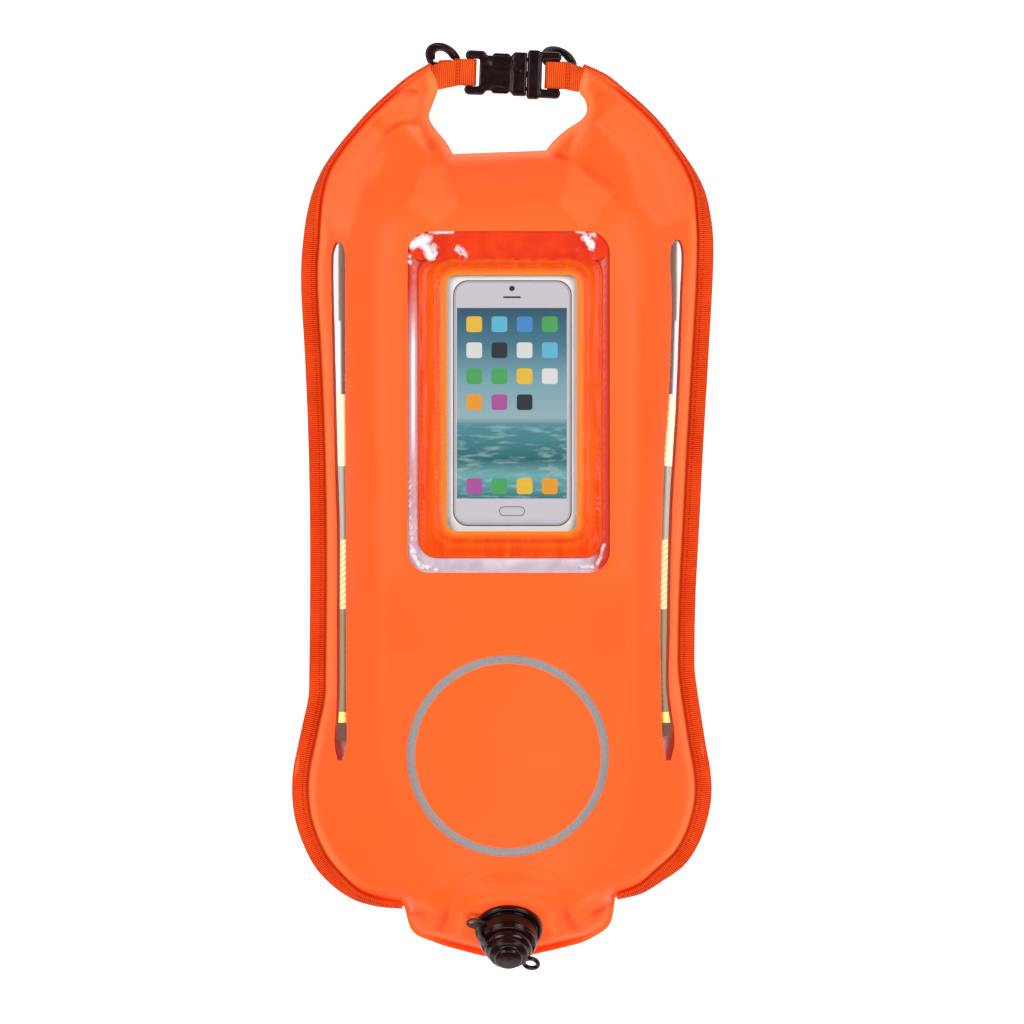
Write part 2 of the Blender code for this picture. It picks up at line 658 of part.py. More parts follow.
outline = np.vstack([left_rows[:, :2], foot_points, right_rows[:, :2], gap_points])
n_left, n_foot, n_right = len(left_rows), len(foot_points), len(right_rows)
on_webbing = np.concatenate([np.ones(n_left), np.zeros(n_foot), np.ones(n_right), np.zeros(len(gap_points))])
leaf_shares = np.concatenate([left_rows[:, 2], np.zeros(n_foot), right_rows[:, 2], np.zeros(len(gap_points))])
leaf_shares = np.clip(leaf_shares, 0, 1)     # the curve may overshoot a little
plain_seam = np.concatenate([np.zeros(n_left), np.full(n_foot, WELD_WIDTH), np.zeros(n_right),
                             np.full(len(gap_points), LIP_WIDTH)])
seam_insets = on_webbing * (WEBBING_THICKNESS + LEAF * leaf_shares + SEAM_CLEARANCE) + plain_seam
webbing_ends = [0, n_left - 1, n_left + n_foot, n_left + n_foot + n_right - 1]
fabric_insets = on_webbing * FABRIC_INSET
fabric_insets[webbing_ends] *= CORNER_SHARE

fabric_loop = inset(outline, fabric_insets)
seam_loop = inset(outline, seam_insets)

# The bag proper ends under the rolled mouth, whose own loop is the rest
shoulder_y = roll_edge[0][1] + ROLL_CROWN
body_side = np.arange(len(outline)) < n_left + n_foot + n_right
body_side &= outline[:, 1] < shoulder_y


def body_loop(loop, edge):
    """What of a loop lies below the roll, closed along the roll's edge."""
    return np.vstack([loop[body_side], edge[::-1]])


body_fabric_loop = body_loop(fabric_loop, roll_edge - (0, GAP))
body_seam_loop = body_loop(seam_loop, roll_edge - (0, GAP + LIP_WIDTH))
mouth_side = ~body_side


def mouth_loop(on_gap, elsewhere, lift):
    """The rolled mouth's loop, inset on its folded edge and elsewhere, with its lower edge lifted."""
    distances = np.where(np.arange(len(outline)) < n_left + n_foot + n_right,
                         seam_insets + elsewhere, on_gap)
    loop = inset(outline, distances)
    left_part = loop[:n_left][mouth_side[:n_left]]
    right_part = loop[n_left + n_foot:][mouth_side[n_left + n_foot:]]
    return np.vstack([left_part, roll_edge + (0, lift), right_part])


STACK_HALF = WALL + LINER_WALL + 1.5 * GAP
window_centre = (WINDOW_X, place(0, WINDOW_SHARE)[1])
window_foot = window_centre[1] - WINDOW_SIZE[1] / 2
valve_centre = (VALVE_X, place(0, 0)[1] + VALVE_FROM_FOOT)

front_shape = inflate(seam_loop)
body_shape = inflate(body_seam_loop)


def front_height(points):
    """Outer face of the front, above the seams."""
    points = np.asarray(points, float)
    natural = FRONT_RISE * front_shape(points)
    # The stiff pouch flattens the bag round the window
    beyond = np.maximum(np.abs(points - window_centre) - np.array(WINDOW_SIZE) / 2, 0)
    near_window = WINDOW_FLAT_SHARE * (1 - smooth(np.hypot(*beyond.T) / WINDOW_BLEND))
    up = (points[:, 1] - window_foot) / WINDOW_SIZE[1]
    flat = WINDOW_RISE_FOOT + (WINDOW_RISE_HEAD - WINDOW_RISE_FOOT) * up
    shaped = natural + near_window * (flat - natural) * smooth(natural / (WINDOW_EASE_SHARE * WINDOW_RISE_HEAD))
    # The valve's stiff seat is a tilted plane
    out = points - valve_centre
    ring = np.hypot(out[:, 0], out[:, 1] / math.cos(VALVE_TILT)) / FLANGE_RADIUS
    near_valve = 1 - smooth((ring - SEAT_FLAT_SHARE) / SEAT_BLEND_SHARE)
    near_valve *= smooth(edge_distance(seam_loop, points) / SEAT_FOOT_BLEND)
    seat = VALVE_RISE - STACK_HALF + out[:, 1] * math.tan(VALVE_TILT)
    return STACK_HALF + shaped + near_valve * (seat - shaped)


def back_height(points):
    """Outer face of the back, below the seams, flattened where it meets the ground."""
    depth = SEAM_HEIGHT - STACK_HALF
    ratio = BACK_DROP * body_shape(points) / depth
    end = 2 - FLAT_START_SHARE
    eased = ratio - (ratio - FLAT_START_SHARE) ** 2 / (2 * (end - FLAT_START_SHARE))
    level = np.where(ratio < FLAT_START_SHARE, ratio, np.where(ratio < end, eased, 1.0))
    return -STACK_HALF - depth * level


def liner_height(points, side):
    return side * (GAP / 2 + LINER_WALL + LINER_RISE * body_shape(points))


def panel(name, loops, holes, extra, height, side, wall, material):
    """A fabric panel: its outer face from a height over the seams, and its wall inside that."""
    points, faces, open_here = triangulate(loops, extra, holes)
    outer = np.column_stack([points, SEAM_HEIGHT + height(points)])
    facing = faces if side > 0 else faces[:, ::-1]
    inner = outer - vertex_normals(outer, facing) * wall
    made = soften(closed_skin(name, outer, inner, facing[~open_here], material), math.radians(60))
    return made, outer, faces


def rim_points(loop):
    rows = [inset(loop, step) for step in RIM_STEPS]
    kept = []
    for row, step in zip(rows, RIM_STEPS):
        fits = contains(loop, row) & (edge_distance(loop, row) > step * RIM_FIT_SHARE)
        kept.append(row[fits])
    return np.vstack(kept)


def inner_points(loop, step):
    grid = lattice(loop, step, RIM_STEPS[-1] + RIM_MARGIN)
    return np.vstack([rim_points(loop), grid])


def clear_of(points, loops, distance):
    """Leaves out points that lie too near any loop."""
    for loop in loops:
        points = points[edge_distance(loop, points) > distance]
    return points


window_loop = rounded_rectangle(window_centre, WINDOW_SIZE, WINDOW_CORNER)


def slot_rows(shares):
    rows = [(*place(x, y), half * BODY_WIDTH / 2) for x, y, half in shares]
    return flowing(rows, SLOT_STEP)


left_slot = slot_rows(LEFT_SLOT_SHARES)
right_slot = slot_rows(RIGHT_SLOT_SHARES)
slot_loops = [band(left_slot)[::-1], band(right_slot)[::-1]]
seat_cos = math.cos(VALVE_TILT)
valve_loop = circle(valve_centre, PANEL_HOLE_RADIUS, VALVE_SIDES // 2, seat_cos)
seat_points = np.vstack([circle(valve_centre, FLANGE_RADIUS * share, VALVE_SIDES // 2, seat_cos)
                         for share in (1.0, SEAT_FLAT_SHARE, SEAT_FLAT_SHARE + SEAT_BLEND_SHARE / 2)])
seat_points = seat_points[contains(seam_loop, seat_points)
                          & (edge_distance(seam_loop, seat_points) > SEAT_CLEAR)]
seat_zone = circle(valve_centre, FLANGE_RADIUS * (SEAT_FLAT_SHARE + SEAT_BLEND_SHARE / 2 + SEAT_ZONE_SHARE),
                   VALVE_SIDES // 2, seat_cos)

front_extra = inner_points(seam_loop, PANEL_STEP)
for left_out in (seat_zone, *slot_loops):
    front_extra = front_extra[~contains(left_out, front_extra)]
front_extra = clear_of(front_extra, [window_loop, *slot_loops], RIM_STEPS[0] * CLEAR_SHARE)
front_extra = np.vstack([front_extra, seat_points])
front, front_outer, front_faces = panel(
    "front_panel", [fabric_loop, seam_loop], [window_loop, *slot_loops, valve_loop],
    front_extra, front_height, 1, WALL, bag_fabric)

back_extra = inner_points(body_seam_loop, PANEL_STEP)
panel("back_panel", [body_fabric_loop, body_seam_loop], [], back_extra, back_height, -1, WALL, bag_fabric)

for side, word in ((1, "front"), (-1, "back")):
    panel("dry_liner_" + word, [body_fabric_loop, body_seam_loop], [],
          lattice(body_seam_loop, LINER_STEP, LINER_STEP / 2),
          lambda points, way=side: liner_height(points, way), side, LINER_WALL, liner_fabric)


# Pieces that follow the front

front_tree = BVHTree.FromPolygons([tuple(p) for p in front_outer], [tuple(int(i) for i in f) for f in front_faces])
SKY = BODY_LENGTH
PROBE = 0.003


def front_point(x, y):
    hit = front_tree.ray_cast(Vector((x, y, SKY)), Vector((0, 0, -1)))[0]
    return hit.z


def front_frame(x, y):
    """A place on the front's outer face, and the way that it faces there."""
    slope_x = (front_point(x + PROBE, y) - front_point(x - PROBE, y)) / (2 * PROBE)
    slope_y = (front_point(x, y + PROBE) - front_point(x, y - PROBE)) / (2 * PROBE)
    return Vector((x, y, front_point(x, y))), Vector((-slope_x, -slope_y, 1)).normalized()


def laid(name, loop, holes, depth, thickness, material, extra=None):
    """A plate that follows the front, a depth below its outer face, or above it if that is negative."""
    if extra is None:
        # The front's own points, so that the plate's facets run with the panel's
        inside = contains(loop, front_outer[:, :2])
        extra = clear_of(front_outer[inside, :2], [loop, *holes], PLATE_MARGIN)
    points, faces, open_here = triangulate([loop], extra, holes)
    depths = depth(points) if callable(depth) else np.full(len(points), depth)
    frames = [front_frame(*p) for p in points]
    outer = np.array([p - n * d for (p, n), d in zip(frames, depths)])
    inner = np.array([p - n * (d + thickness) for (p, n), d in zip(frames, depths)])
    return soften(closed_skin(name, outer, inner, faces[~open_here], material), math.radians(60))


film_depth = WALL + FILM_GAP
frame_depth = film_depth + WINDOW_THICKNESS + FRAME_DEPTH
pane_depth = frame_depth + FRAME_THICKNESS + UNDER_GAP
card_depth = pane_depth + PANE_THICKNESS + UNDER_GAP
pocket_depth = card_depth + CARD_THICKNESS + POCKET_DEPTH

frame_centre = np.add(window_centre, FRAME_SHIFT)
pane_centre = frame_centre + PANE_SHIFT
pane_size = np.subtract(FRAME_SIZE, np.multiply(FRAME_BORDERS, 2))
card_size = pane_size - np.multiply(CARD_MARGINS, 2)
film_loop = rounded_rectangle(window_centre, [s + 2 * WINDOW_WELD for s in WINDOW_SIZE], WINDOW_CORNER)
frame_loop = rounded_rectangle(frame_centre, FRAME_SIZE, FRAME_CORNER)
pane_loop = rounded_rectangle(pane_centre, pane_size, PANE_CORNER)
laid("window_film", film_loop, [], film_depth, WINDOW_THICKNESS, clear_film)
laid("pouch_frame", frame_loop, [pane_loop], frame_depth, FRAME_THICKNESS, pouch_vinyl)
laid("pouch_front_film", rounded_rectangle(pane_centre, pane_size + 2 * PANE_WELD, PANE_CORNER),
     [], pane_depth, PANE_THICKNESS, clear_film)
laid("insert_card", rounded_rectangle(pane_centre, card_size, CARD_CORNER), [], card_depth,
     CARD_THICKNESS, printed_card)


def pouch_depth(points):
    """The pouch's back: welded to the frame round its rim, and deep enough for a phone inside."""
    inside = smooth((edge_distance(frame_loop, points) - POUCH_RIM) / POUCH_WALL_RUN)
    return pane_depth + inside * (pocket_depth - pane_depth)


pouch_extra = np.vstack([inset(frame_loop, POUCH_RIM + POUCH_WALL_RUN * share) for share in (0.0, 0.5, 1.0)]
                        + [lattice(frame_loop, PANEL_STEP, POUCH_RIM + POUCH_WALL_RUN + RIM_STEPS[0])])
laid("pouch_back", frame_loop, [], pouch_depth, POUCH_WALL, pouch_vinyl, extra=pouch_extra)

for word, rows in (("left", left_slot), ("right", right_slot)):
    laid("side_window_film_" + word, band(rows, SLOT_WELD)[::-1], [], film_depth, FILM_THICKNESS, clear_film)
    laid("reflective_strip_" + word, band(rows, 0)[::-1], [], film_depth + FILM_THICKNESS + GAP,
         STRIP_THICKNESS, reflective_tape, extra=np.zeros((0, 2)))

ring_centre = place(0, RING_SHARE)
laid("reflective_ring", circle(ring_centre, RING_RADIUS, RING_POINTS),
     [circle(ring_centre, RING_RADIUS - RING_BREADTH, RING_POINTS)],
     -(RING_GAP + RING_THICKNESS), RING_THICKNESS, reflective_print, extra=np.zeros((0, 2)))


# Rolled mouth, with the stiffener in its pocket

mouth = mouth_loop(ROLL_INSET, ROLL_INSET, GAP)
mouth_points, mouth_faces, _ = triangulate([mouth], lattice(mouth, ROLL_STEP, RIM_STEPS[0]))
swell = np.clip(edge_distance(mouth, mouth_points) / ROLL_ROUND, 0, 1)
fullness = ROLL_EDGE_HALF + ROLL_CROWN * np.sqrt(1 - (1 - swell) ** 2)
under_front = front_height(mouth_points) - WALL - 2 * UNDER_GAP
roll_top = np.column_stack([mouth_points, SEAM_HEIGHT + np.minimum(fullness, under_front)])
roll_foot = np.column_stack([mouth_points, SEAM_HEIGHT - fullness])
roll = soften(closed_skin("rolled_mouth", roll_top, roll_foot, mouth_faces, bag_fabric))
pocket_half = WEBBING_THICKNESS / 2 + GAP
pocket_insets = np.full(len(outline), ROLL_INSET + POCKET_INSET)
for open_tip in (n_left + n_foot + n_right, n_left + n_foot + n_right + 1, -2, -1):
    pocket_insets[open_tip] = -POCKET_OVERRUN
pocket = mouth_loop(pocket_insets, -POCKET_OVERRUN, -POCKET_OVERRUN)
combine(roll, prism("stiffener_pocket", pocket, SEAM_HEIGHT - pocket_half, SEAM_HEIGHT + pocket_half,
                    bag_fabric), "DIFFERENCE")

stiffener_rows = flowing([place(x, y) for x, y in STIFFENER_SHARES], ROLL_STEP)
stiffener_rows = np.column_stack([stiffener_rows, np.full(len(stiffener_rows), STIFFENER_HALF_WIDTH)])
prism("mouth_stiffener", band(stiffener_rows), SEAM_HEIGHT - STIFFENER_THICKNESS / 2,
      SEAM_HEIGHT + STIFFENER_THICKNESS / 2, stiff_strip)


# Webbing, folded over the side seams and standing on edge along the horns

def side_webbing(name, first, last):
    run = np.gradient(outline[first:last], axis=0)
    run /= np.linalg.norm(run, axis=1)[:, None]
    half = STACK_HALF + GAP
    sections = []
    for (x, y), (run_x, run_y), along in zip(outline[first:last], run, leaf_shares[first:last]):
        into = Vector((-run_y, run_x, 0))
        up = math.sqrt(1 - along ** 2)
        out = (-WEBBING_THICKNESS * up, WEBBING_THICKNESS * along)
        start = (WEBBING_THICKNESS, half)
        end = (start[0] + LEAF * along, start[1] + LEAF * up)
        leaf = [start, end, (end[0] + out[0], end[1] + out[1]), (start[0] + out[0], start[1] + out[1]), (0, half)]
        section = leaf + [(n, -z) for n, z in reversed(leaf)]
        sections.append([Vector((x, y, SEAM_HEIGHT + z)) + into * n for n, z in section])
    return sweep(name, sections, webbing)


side_webbing("side_webbing_left", 0, n_left)
side_webbing("side_webbing_right", n_left + n_foot, n_left + n_foot + n_right)


# Side-release buckle

loop_middle = Vector((*place(0, LOOP_SHARE), SEAM_HEIGHT))
buckle_frame = (Matrix.Translation(loop_middle + Vector((BUCKLE_X, 0, 0)))
                @ Matrix.Rotation(BUCKLE_TURN, 4, "Z"))
thick = BUCKLE_HALF_THICKNESS
housing_end = -BUCKLE_GAP - HOUSING_LENGTH
cavity_end = housing_end + HOUSING_BACK_WALL
cavity_half = thick - HOUSING_PLATE


def placed(made, frame):
    made.matrix_world = frame
    return made


def join_box(made, low, high, operation="DIFFERENCE"):
    """Cuts a box away from a buckle half, or joins one to it."""
    combine(made, placed(box(made.name + "_box", low, high, buckle_plastic), buckle_frame), operation)


def buckle_block(name, upper):
    """A buckle half's solid block, from the outline of its upper side."""
    made = prism(name, upper + [(x, -y) for x, y in reversed(upper)], -thick, thick, buckle_plastic)
    face_out(made)
    bevel(made)
    return placed(made, buckle_frame)


def end_bar(made, inner, way, length, half_width):
    """Opens the strap's slot past an inner end, and thins the bar beyond it."""
    slot_end = inner + way * BAR_SLOT
    side = half_width - BAR_ARM
    near, far = sorted((inner, slot_end))
    join_box(made, (near, -side, -thick - OVERRUN), (far, side, thick + OVERRUN))
    near, far = sorted((slot_end - way * OVERRUN, slot_end + way * (length + OVERRUN)))
    join_box(made, (near, -side, BAR_HALF_HEIGHT), (far, side, thick + OVERRUN))
    join_box(made, (near, -side, -thick - OVERRUN), (far, side, -BAR_HALF_HEIGHT))
    return slot_end


female_end = housing_end - BAR_SLOT - FEMALE_BAR
female = buckle_block("buckle_female", [
    (female_end, HOUSING_HALF_WIDTH), (cavity_end - HOUSING_SLOPE, HOUSING_HALF_WIDTH),
    (cavity_end, HOUSING_WAIST), (-COLLAR_LENGTH - HOUSING_SLOPE, HOUSING_WAIST),
    (-COLLAR_LENGTH, HOUSING_HALF_WIDTH), (-BUCKLE_GAP, HOUSING_HALF_WIDTH)])
left_bar_x = end_bar(female, housing_end, -1, FEMALE_BAR, HOUSING_HALF_WIDTH)
join_box(female, (cavity_end, -HOUSING_HALF_WIDTH - OVERRUN, -cavity_half),
         (OVERRUN, HOUSING_HALF_WIDTH + OVERRUN, cavity_half))
for side in (1, -1):
    near, far = sorted((side * (GUIDE_Y - GUIDE_HALF_THICKNESS), side * (GUIDE_Y + GUIDE_HALF_THICKNESS)))
    join_box(female, (cavity_end - OVERRUN, near, -cavity_half - HOUSING_PLATE / 2),
             (-BUCKLE_GAP - 2 * SOFT_EDGE, far, cavity_half + HOUSING_PLATE / 2), "UNION")
oval = circle(THUMB_CENTRE, THUMB_SIZE[0] / 2, THUMB_SIDES, THUMB_SIZE[1] / THUMB_SIZE[0])
combine(female, placed(prism("thumb_recess", oval, thick - THUMB_DEPTH, thick + OVERRUN, buckle_plastic),
                       buckle_frame), "DIFFERENCE")

male_end = MALE_BASE_LENGTH + BAR_SLOT + MALE_BAR
male = buckle_block("buckle_male", [(0, MALE_HALF_WIDTH), (male_end, MALE_HALF_WIDTH)])
right_bar_x = end_bar(male, MALE_BASE_LENGTH, 1, MALE_BAR, MALE_HALF_WIDTH)
join_box(male, (-TONGUE_LENGTH, -TONGUE_HALF_WIDTH, -TONGUE_HALF_THICKNESS),
         (HINGE_X, TONGUE_HALF_WIDTH, TONGUE_HALF_THICKNESS), "UNION")
pocket_height = PRONG_HALF_HEIGHT + GAP
pocket_mouth = PRONG_NECK + HINGE_X * math.tan(PRONG_TRAVEL) + GAP
for side in (1, -1):
    hole = circle((HINGE_X, side * HINGE_Y), PRONG_ROOT + GAP, VALVE_SIDES)
    combine(male, placed(prism("prong_pocket", hole, -pocket_height, pocket_height, buckle_plastic),
                         buckle_frame), "DIFFERENCE")
    join_box(male, (-OVERRUN, side * HINGE_Y - pocket_mouth, -pocket_height),
             (HINGE_X, side * HINGE_Y + pocket_mouth, pocket_height))

# A prong turns about its round root, and has its origin there
root_start = math.pi - math.asin(PRONG_NECK / PRONG_ROOT)
prong_loop = [(PRONG_ROOT * math.cos(a), PRONG_ROOT * math.sin(a))
              for a in np.linspace(root_start, -root_start, ROOT_POINTS)]
prong_loop += [(-PRONG_LENGTH + PRONG_CHAMFER, -PRONG_NECK), (-PRONG_LENGTH, -PRONG_NECK + PRONG_CHAMFER),
               (-PRONG_LENGTH, PRONG_PAD_OUT - PRONG_CHAMFER), (-PRONG_LENGTH + PRONG_CHAMFER, PRONG_PAD_OUT),
               (-PRONG_PAD_START - PRONG_CHAMFER, PRONG_PAD_OUT), (-PRONG_PAD_START + PRONG_CHAMFER, PRONG_NECK)]
for side, word in ((1, "upper"), (-1, "lower")):
    prong = prism("buckle_prong_" + word, [(x, side * y) for x, y in prong_loop],
                  -PRONG_HALF_HEIGHT, PRONG_HALF_HEIGHT, buckle_plastic)
    placed(prong, buckle_frame @ Matrix.Translation((HINGE_X, side * HINGE_Y, 0)))


# Handle straps: sewn in at a horn's tip, and folded round an end bar of the buckle

def handle_strap(name, slot_x, bar_length, way, end):
    """A strap from a horn's tip to an end bar and back. Way points from the bar to the horn."""
    over = BAR_HALF_HEIGHT + STRAP_OVER_BAR + WEBBING_THICKNESS / 2
    bar_edge = slot_x + way * bar_length
    turn_x = slot_x + way * STRAP_TURN_SHIFT
    low_x = bar_edge + way * STRAP_SLOPE
    across = Vector((0, 1, 0))
    up = Vector((0, 0, 1))
    tip = buckle_frame.inverted() @ (loop_middle + Vector((*end, 0)))
    tuck_share, tip_share = STRAP_TIP_SHARES
    path = [(tip + Vector((way * STRAP_TUCK, 0, 0)), across * tuck_share, up), (tip, across * tip_share, up),
            (tip - Vector((way * STRAP_FREE, 0, 0)), across, up),
            (Vector((low_x, 0, STRAP_LAYER)), across, up), (Vector((bar_edge, 0, over)), across, up)]
    for angle in np.linspace(math.pi / 2, -math.pi / 2, STRAP_TURN_POINTS):
        outward = Vector((-way * math.cos(angle), 0, math.sin(angle)))
        path.append((Vector((turn_x, 0, 0)) + outward * over, across, outward))
    path += [(Vector((bar_edge, 0, -over)), across, -up), (Vector((low_x, 0, -STRAP_LAYER)), across, -up),
             (Vector((bar_edge + way * STRAP_RETURN, 0, -STRAP_LAYER)), across, -up)]
    return placed(ribbon(name, path, WEBBING_WIDTH, WEBBING_THICKNESS, webbing), buckle_frame)


handle_strap("handle_webbing_left", left_bar_x, FEMALE_BAR, -1, LEFT_STRAP_END)
handle_strap("handle_webbing_right", right_bar_x, MALE_BAR, 1, RIGHT_STRAP_END)


# D-rings, each in a tab of webbing under a strap

corner = [(D_HALF_BAR - D_CORNER + D_CORNER * math.sin(a), D_CORNER - D_CORNER * math.cos(a))
          for a in np.linspace(0, math.pi / 2, D_CORNER_POINTS)]
bow = [(D_HALF_BAR * math.cos(a), D_CORNER + (D_DEPTH - D_CORNER) * math.sin(a) ** D_BOW_SHARE)
       for a in np.linspace(0, math.pi, D_BOW_POINTS)[1:-1]]
ring_path = [(x, y, 0) for x, y in corner + bow + [(-x, y) for x, y in reversed(corner)]]
under_single = WEBBING_THICKNESS / 2
under_bar = BAR_HALF_HEIGHT + STRAP_OVER_BAR + WEBBING_THICKNESS
for word, (x, y), strap_half, lean in (("left", LEFT_RING, under_single, 1), ("right", RIGHT_RING, under_bar, -1)):
    # The left bow leans up and the right one down
    ahead = Vector((0, 1, 0))
    bar_way = Vector((math.cos(D_YAW), 0, lean * math.sin(D_YAW)))
    beside_bar = Vector((-math.sin(D_YAW), 0, lean * math.cos(D_YAW)))
    below_bar = -lean * beside_bar
    bow_way = math.cos(D_LEAN) * ahead + math.sin(D_LEAN) * beside_bar
    ring_turn = Matrix((bar_way, bow_way, bar_way.cross(bow_way))).transposed().to_4x4()
    y += loop_middle.y
    centre = Vector((x, y, SEAM_HEIGHT - D_BELOW_STRAP))
    ring = tube_ring("d_ring_" + word, ring_path, Vector((0, 0, 1)), RING_ROD, buckle_plastic)
    placed(ring, Matrix.Translation(centre) @ ring_turn)
    wrap = RING_ROD + GAP + TAB_THICKNESS / 2
    sewn_z = SEAM_HEIGHT - strap_half - GAP - TAB_THICKNESS / 2
    rows = [(Vector((x, y - wrap - TAB_BEND - TAB_SEWN, sewn_z)), (1, 0, 0), (0, 0, -1)),
            (Vector((x, y - wrap - TAB_BEND, sewn_z)), (1, 0, 0), (0, 0, -1)),
            (Vector((x, y - wrap, sewn_z - TAB_BEND)), (1, 0, 0), (0, -1, 0))]
    for angle in np.linspace(0, TAB_WRAP, TAB_POINTS):
        outward = -math.cos(angle) * ahead + math.sin(angle) * below_bar
        rows.append((centre + outward * wrap, bar_way, outward))
    ribbon("d_ring_tab_" + word, rows, TAB_WIDTH, TAB_THICKNESS, webbing)


# Air valve, in its own frame: z along its axis, from the panel's outer face

valve_frame = Matrix.Translation((*valve_centre, SEAM_HEIGHT + VALVE_RISE)) @ Matrix.Rotation(VALVE_TILT, 4, "X")
flange_top = GAP + FLANGE_THICKNESS
shoulder_top = flange_top + FLANGE_LIP
neck_top = flange_top + NECK_HEIGHT
lip_inner = FLANGE_RADIUS - FLANGE_LIP_BREADTH
placed(turned("valve_base", [
    (THROAT_RADIUS, -NECK_INSIDE), (NECK_RADIUS, -NECK_INSIDE), (NECK_RADIUS, GAP), (FLANGE_RADIUS, GAP),
    (FLANGE_RADIUS, flange_top), (FLANGE_RADIUS - SOFT_EDGE, shoulder_top), (lip_inner + SOFT_EDGE, shoulder_top),
    (lip_inner, flange_top), (SHOULDER_RADIUS, flange_top), (SHOULDER_RADIUS, shoulder_top),
    (NECK_RADIUS, shoulder_top), (NECK_RADIUS, neck_top), (THROAT_RADIUS, neck_top)], valve_plastic), valve_frame)

# The leash: a ring round the neck with an ear, and a strap up to the cap
leash_foot = shoulder_top + GAP
leash_top = leash_foot + LEASH_THICKNESS
collar_inner = NECK_RADIUS + GAP
collar_foot = leash_top + GAP
seal_middle = neck_top + GAP + SEAL_HALF
collar_ceiling = seal_middle + SEAL_HALF + GAP
collar_top = collar_ceiling + COLLAR_FLOOR
spout_top = collar_top + SPOUT_HEIGHT
cap_foot = collar_top + GAP
cap_ceiling = spout_top + GAP
cap_top = cap_ceiling + CAP_TOP

ring_outer = collar_inner + LEASH_RING_BREADTH
ear_turn = math.asin(LEASH_EAR_RADIUS / ring_outer)
ring_arc = np.linspace(ear_turn, 2 * math.pi - ear_turn, VALVE_SIDES - 4)
leash_loop = [(ring_outer * math.cos(a), ring_outer * math.sin(a)) for a in ring_arc]
leash_loop += [(LEASH_EAR_CENTRE + LEASH_EAR_RADIUS * math.sin(a), -LEASH_EAR_RADIUS * math.cos(a))
               for a in np.linspace(0, math.pi, ROOT_POINTS)]
leash_holes = [circle((0, 0), collar_inner, VALVE_SIDES),
               circle((LEASH_EAR_CENTRE, 0), LEASH_HOLE_RADIUS, SEAL_SIDES)]
flat_points, flat_faces, open_here = triangulate([np.array(leash_loop)], np.zeros((0, 2)), leash_holes)
leash = closed_skin("cap_leash", np.column_stack([flat_points, np.full(len(flat_points), leash_top)]),
                    np.column_stack([flat_points, np.full(len(flat_points), leash_foot)]),
                    flat_faces[~open_here], valve_rubber)
leash_turn = valve_frame @ Matrix.Rotation(LEASH_ANGLE, 4, "Z")
placed(leash, leash_turn)
beside_collar = COLLAR_RADIUS + 2 * GAP + LEASH_THICKNESS / 2
beside_cap = CAP_RADIUS + GAP + LEASH_THICKNESS / 2
strap_route = [((beside_collar, leash_foot + GAP), (1, 0)), ((beside_collar, collar_top - 2 * COLLAR_STEP), (1, 0)),
               ((beside_collar - COLLAR_STEP, collar_top + COLLAR_STEP), (1, 1)),
               ((beside_cap + COLLAR_STEP, collar_top + 3 * COLLAR_STEP), (1, 1)),
               ((beside_cap, collar_top + 5 * COLLAR_STEP), (1, 0)), ((beside_cap, cap_top - COLLAR_STEP), (1, 0))]
leash_strap = ribbon("leash_strap", [((r, 0, z), (0, 1, 0), (face_r, 0, face_z))
                                     for (r, z), (face_r, face_z) in strap_route],
                     LEASH_WIDTH, LEASH_THICKNESS, valve_rubber)
combine(leash, placed(leash_strap, leash_turn), "UNION")

step = COLLAR_STEP
collar = turned("valve_collar", [
    (collar_inner, collar_foot), (COLLAR_RADIUS - step, collar_foot), (COLLAR_RADIUS, collar_foot + step),
    (COLLAR_RADIUS, collar_top - 3 * step), (COLLAR_RADIUS - step, collar_top - 2 * step),
    (COLLAR_RADIUS - step, collar_top - step), (COLLAR_RADIUS - 2 * step, collar_top),
    (SPOUT_RADIUS, collar_top), (SPOUT_RADIUS, spout_top), (SPOUT_BORE, spout_top),
    (SPOUT_BORE, collar_ceiling), (collar_inner, collar_ceiling)], valve_plastic)
placed(collar, valve_frame)
bridge_top = collar_ceiling + BRIDGE_THICKNESS
for turn in (0, math.pi / 2):
    bar = box("diaphragm_bridge", (-SPOUT_BORE - step, -BRIDGE_BREADTH / 2, collar_ceiling),
              (SPOUT_BORE + step, BRIDGE_BREADTH / 2, bridge_top), valve_plastic)
    combine(collar, placed(bar, valve_frame @ Matrix.Rotation(turn, 4, "Z")), "UNION")
hub = turned_solid("diaphragm_hub", [(HUB_RADIUS, collar_ceiling), (HUB_RADIUS, bridge_top)], valve_plastic)
combine(collar, placed(hub, valve_frame), "UNION")
hub_bore = turned_solid("hub_bore", [(HUB_BORE, collar_ceiling - OVERRUN), (HUB_BORE, bridge_top + OVERRUN)],
                        valve_plastic)
combine(collar, placed(hub_bore, valve_frame), "DIFFERENCE")

seal_turns = [2 * math.pi * i / SEAL_SIDES for i in range(SEAL_SIDES)]
placed(turned("valve_seal", [(SEAL_RADIUS + SEAL_HALF * math.cos(a), seal_middle + SEAL_HALF * math.sin(a))
                             for a in seal_turns], valve_rubber), valve_frame)

flap_top = collar_ceiling - GAP
head_foot = bridge_top + DIAPHRAGM_LIFT + GAP
placed(turned_solid("valve_diaphragm", [
    (DIAPHRAGM_RADIUS, flap_top - DIAPHRAGM_THICKNESS), (DIAPHRAGM_RADIUS, flap_top), (DIAPHRAGM_STEM, flap_top),
    (DIAPHRAGM_STEM, head_foot), (DIAPHRAGM_HEAD, head_foot),
    (DIAPHRAGM_HEAD, head_foot + DIAPHRAGM_HEAD_HEIGHT)], valve_rubber), valve_frame)

